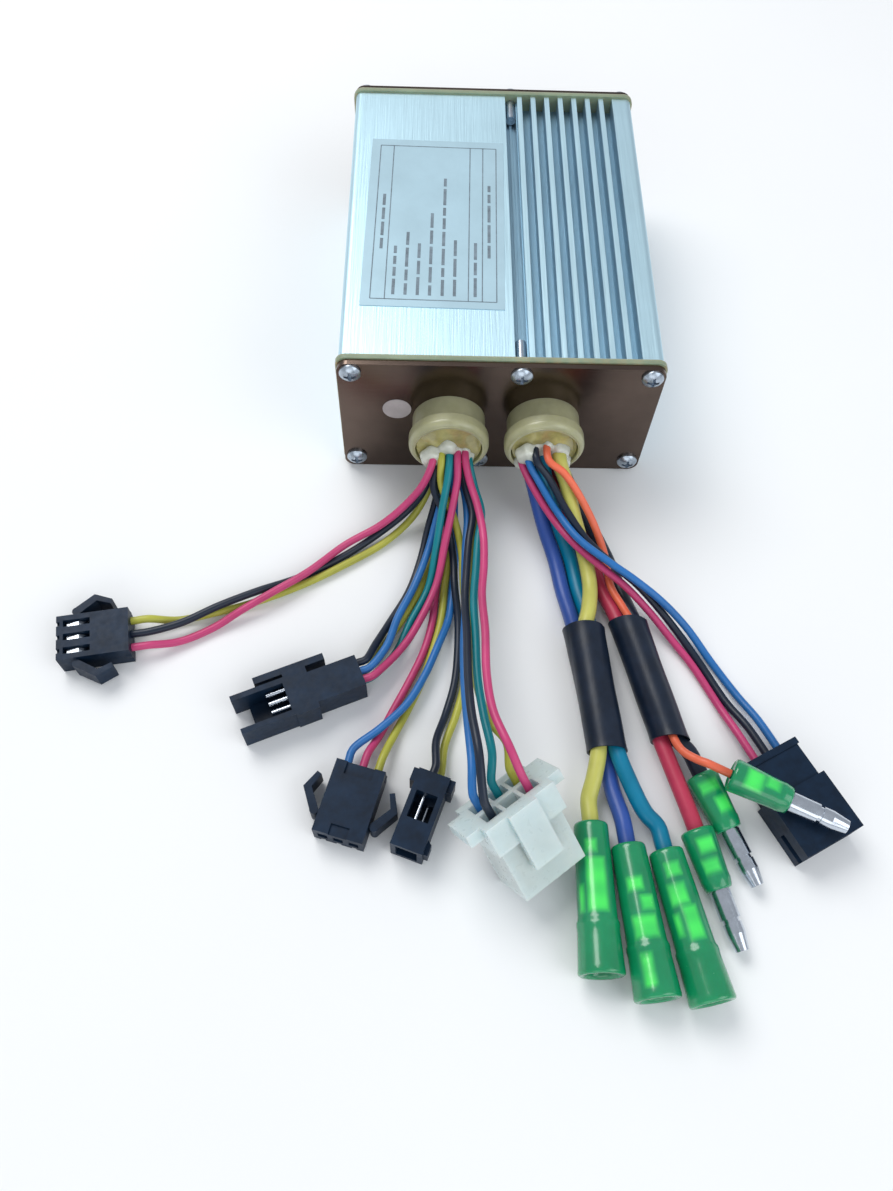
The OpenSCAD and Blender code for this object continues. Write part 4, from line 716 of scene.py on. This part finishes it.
def heatshrink(name, ends, cores, twist, flare):
    """cores lists (distance from the axis, angle, radius) of the wires inside, which twist on the
    way; flare widens the end nearest the body."""
    start, end = Vector(ends[0]), Vector(ends[1])
    widest = max(r + w for r, a, w in cores)
    outer, inner = [], []
    for i in range(SHRINK_ROWS + 1):
        t = i / SHRINK_ROWS
        wires_in = [(r * math.cos(math.radians(a + t * twist)), r * math.sin(math.radians(a + t * twist)), w)
                    for r, a, w in cores]
        wave = 0.04 * math.sin(11 * t + len(name)) + flare * (1 - t) ** 3 + 0.12 * abs(2 * t - 1) ** 14
        for rings, extra in ((outer, SHRINK_FILM), (inner, SHRINK_GAP)):
            ring = []
            for k in range(SHRINK_STEPS):
                angle = k * math.tau / SHRINK_STEPS
                drawn_in = max(x * math.cos(angle) + z * math.sin(angle) + w for x, z, w in wires_in)
                r = SHRINK_PULL * drawn_in + (1 - SHRINK_PULL) * widest + extra + wave
                ring.append(start.lerp(end, t) + Vector((r * math.cos(angle), 0, r * math.sin(angle))))
            rings.append(ring)
    made = mesh_piece(name, rings_to_bmesh(outer + inner[::-1]), shrink_film, smooth_angle=60)
    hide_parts("heatshrink_sleeves")
    return made


phase_shrink = heatshrink("phase_shrink", PHASE_SHRINK,
                          [(2.06, 210, 1.7), (2.06, -30, 1.7), (2.06, 90, 1.7)], 60, 0.4)
supply_shrink = heatshrink("supply_shrink", SUPPLY_SHRINK,
                           [(1.9, 198, 1.7), (1.9, -18, 1.7), (2.2, 90, 0.85)], 0, 0.15)

# ---- For every wire, the pieces on it gathered in a list that nothing uses ----

for name, (diameter, length, colour, stiffness, far_pieces) in WIRES.items():
    on_it = [NODES[piece] for piece in far_pieces]
    if name in sleeves:
        on_it += [sleeves[name], phase_shrink if name.startswith("phase") else supply_shrink]

# ---- Sealant: a lumpy glossy mass around the wires at each grommet's mouth ----


def blob(bm, centre, radius, squash):
    """An uneven ball of sealant, flattened along the wires."""
    found = bmesh.ops.create_uvsphere(bm, u_segments=24, v_segments=16, radius=1)
    for vert in found["verts"]:
        wobble = 1 + 0.07 * math.sin(5 * vert.co.x + 3 * vert.co.z) + 0.05 * math.sin(7 * vert.co.y)
        vert.co = Vector(centre) + Vector((vert.co.x * radius, vert.co.y * radius * squash,
                                           vert.co.z * radius)) * wobble


# Outline of the fill in a grommet's bore: (radius, depth behind the mouth), from the back round to
# the middle of its open face
FILL_OUTLINE = ((0.01, 11.1), (7.4, 11.1), (7.42, 1.4), (7.2, 0.7), (6.6, 0.9), (5, 0.6), (3.2, 0.4),
                (1.5, 0.5), (0.01, 0.5))
FILL_STEPS = 64
# Height of the waves on the open face
FILL_WAVE = 0.3


def sealant(name, hole, exits, lumps):
    """Amber fill in the bore with a wavy face, and milky lumps and collars run together on it."""
    rings = []
    angles = [k * math.tau / FILL_STEPS for k in range(FILL_STEPS)]
    for r, depth in FILL_OUTLINE:
        wave = FILL_WAVE * min(1, r / 3) if depth < 1 and r < 7 else 0
        rings.append([(hole[0] + r * math.cos(a), MOUTH_Y + depth + wave * math.sin(3 * a + r),
                       hole[1] + r * math.sin(a)) for a in angles])
    fill = mesh_piece(name + "_fill", rings_to_bmesh(rings, closed=False), amber_glue)
    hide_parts("cable_sealant")
    bm = bmesh.new()
    for x, z, r in exits:
        blob(bm, (x, MOUTH_Y + 0.5, z), r * 1.6, 0.75)
    for x, y, z, r in lumps:
        blob(bm, (x, y, z), r, 0.8)
    made = mesh_piece(name + "_lumps", bm, milky_glue, smooth_angle=180)
    join = made.modifiers.new("join", "REMESH")
    join.mode = "VOXEL"
    join.voxel_size = 0.2 * MM
    join.use_smooth_shade = True
    relax = made.modifiers.new("relax", "SMOOTH")
    relax.factor = 0.8
    relax.iterations = 8
    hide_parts("cable_sealant")


def exits_of(prefixes):
    """(x, z, radius) of each wire of these harnesses where it leaves the sealant."""
    return [(ROUTES[n][2][0], ROUTES[n][2][2], WIRES[n][0] / 2)
            for n in WIRES if n.split("_")[0] in prefixes]


sealant("signal_sealant", SIGNAL_HOLE, exits_of(("throttle", "display", "sensor", "brake", "hall")),
        [(-14.3, -55, 15.8, 2.9), (-7.6, -54.8, 14.6, 2.6), (-11, -54.2, 18.4, 2.1)])
sealant("power_sealant", POWER_HOLE, exits_of(("phase", "supply", "aux")),
        [(7, -55, 17.4, 2.9), (5.9, -54.4, 13.6, 1.9), (13.8, -54.2, 18, 2.3)])

# ---- Label print: generic rules and grey bars in place of text ----

# Each printed line's place across the label, then where it starts and ends along it
PRINTED_LINES = ((-12.1, -10, 8), (-8.8, -24, -9), (-6.1, -24, -4), (-3.4, -24, -8), (-0.7, -24, 2),
                 (2.1, -24, 14), (4.8, -24, -6), (9.4, -24, -7), (12.5, -12, 12))


def label_print():
    """A ruled frame and one bar for each word, standing proud of the label's film."""
    bm = bmesh.new()
    turn = Matrix.Rotation(math.radians(LABEL_TURN), 4, "Z")
    top = BODY_H + LABEL_T
    rule_half, word_half, word_gap = 0.12, 0.35, 0.9

    def bar(x0, x1, y0, y1):
        corners = [turn @ Vector((x, y, 0)) + Vector((*LABEL_AT, 0))
                   for x, y in ((x0, y0), (x1, y0), (x1, y1), (x0, y1))]
        low = [bm.verts.new((c.x, c.y, top + 0.005)) for c in corners]
        high = [bm.verts.new((c.x, c.y, top + 0.03)) for c in corners]
        bm.faces.new(low[::-1])
        bm.faces.new(high)
        for i in range(4):
            j = (i + 1) % 4
            bm.faces.new((low[i], low[j], high[j], high[i]))

    left, right, front, back = -13.8, 14.2, -25.4, 25.2
    for x in (left, -10.6, 7.9, 11, right):
        bar(x - rule_half, x + rule_half, front, back)
    for y in (front, back):
        bar(left, right, y - rule_half, y + rule_half)
    words = random.Random(3)
    for x, start, end in PRINTED_LINES:
        y = start
        while y < end:
            word_end = min(y + words.uniform(2.5, 6), end)
            bar(x - word_half, x + word_half, y, word_end)
            y = word_end + word_gap
    mesh_piece("label_print", bm, label_ink)


label_print()

# ---- CAD pieces that stay: finish and softened edges ----

PLUGS = ["throttle_plug", "sensor_plug"]
LATCHES = [f"{plug}_latch_{side}" for plug in ("throttle", "sensor") for side in ("left", "right")]
SHROUDS = ["display_shroud", "brake_shroud", "aux_shroud"]

paint(["housing", "heat_bar"], extruded)
paint(["front_plate", "rear_plate"], polished)
paint(["end_gaskets"], gasket)
paint(["plate_screws", "clamp_screws"], zinc)
paint(["rating_label"], label_film)
paint(["inspection_sticker"], sticker_paper)
paint(["signal_grommet", "power_grommet"], grommet_rubber)
paint(["circuit_board"], solder_mask)
paint(["mosfets", "control_chip"], epoxy)
paint(["mosfet_pads"], pad_rubber)
paint(["bus_capacitors"], capacitor_film)
paint([*PLUGS, *LATCHES, *SHROUDS], black_nylon)
paint(["hall_plug"], white_nylon)
paint(["socket_contacts", "pin_contacts", "hall_contacts", "bullet_contacts"], tin)

for names, width in ((["housing", "end_gaskets"], 0.12), (["front_plate", "rear_plate"], 0.15),
                     (["plate_screws"], 0.08), (PLUGS, 0.16), (LATCHES, 0.2), (SHROUDS, 0.2),
                     (["hall_plug"], 0.3)):
    for name in names:
        soften(NODES[name], width)

# ---- Floor and studio light ----


def studio_floor(reach=9.0, drop=0.0002):
    """A pale flat sheet just under the part, wide enough to have no edge in sight."""
    bm = bmesh.new()
    corners = [bm.verts.new((x * reach, y * reach, -drop)) for x, y in ((-1, -1), (1, -1), (1, 1), (-1, 1))]
    bm.faces.new(corners)
    data = bpy.data.meshes.new("floor")
    bm.to_mesh(data)
    bm.free()
    data.materials.append(material("pale_paper", (0.86, 0.87, 0.88), 0.85, vary=0.01, mottle=8, bump=0.02))
    floor = bpy.data.objects.new("floor", data)
    bpy.context.collection.objects.link(floor)


def lamp(name, place, target, size, power, colour):
    """A soft box at a place, turned to a target, with its size in metres and power in watts."""
    data = bpy.data.lights.new(name, "AREA")
    data.shape = "RECTANGLE"
    data.size, data.size_y = size
    data.energy = power
    data.color = colour
    made = bpy.data.objects.new(name, data)
    made.location = place
    made.rotation_euler = (Vector(target) - Vector(place)).to_track_quat("-Z", "Y").to_euler()
    bpy.context.collection.objects.link(made)


studio_floor()
lamp("key", (-0.35, 0.35, 0.75), (0, -0.04, 0), (0.6, 0.5), 5.2, (1.0, 0.99, 0.97))
lamp("fill", (0.55, -0.45, 0.55), (0, -0.08, 0), (0.6, 0.6), 2.3, (0.93, 0.97, 1.0))
lamp("front", (-0.1, -0.75, 0.35), (0, -0.05, 0.01), (0.7, 0.4), 1.2, (0.97, 0.99, 1.0))
world = bpy.data.worlds.new("studio")
world.use_nodes = True
world.node_tree.nodes["Background"].inputs["Color"].default_value = (0.9, 0.94, 1.0, 1)
world.node_tree.nodes["Background"].inputs["Strength"].default_value = 0.5
bpy.context.scene.world = world
bpy.context.scene.view_settings.view_transform = "Standard"

# ---- Last update of the scene ----

bpy.context.view_layer.update()
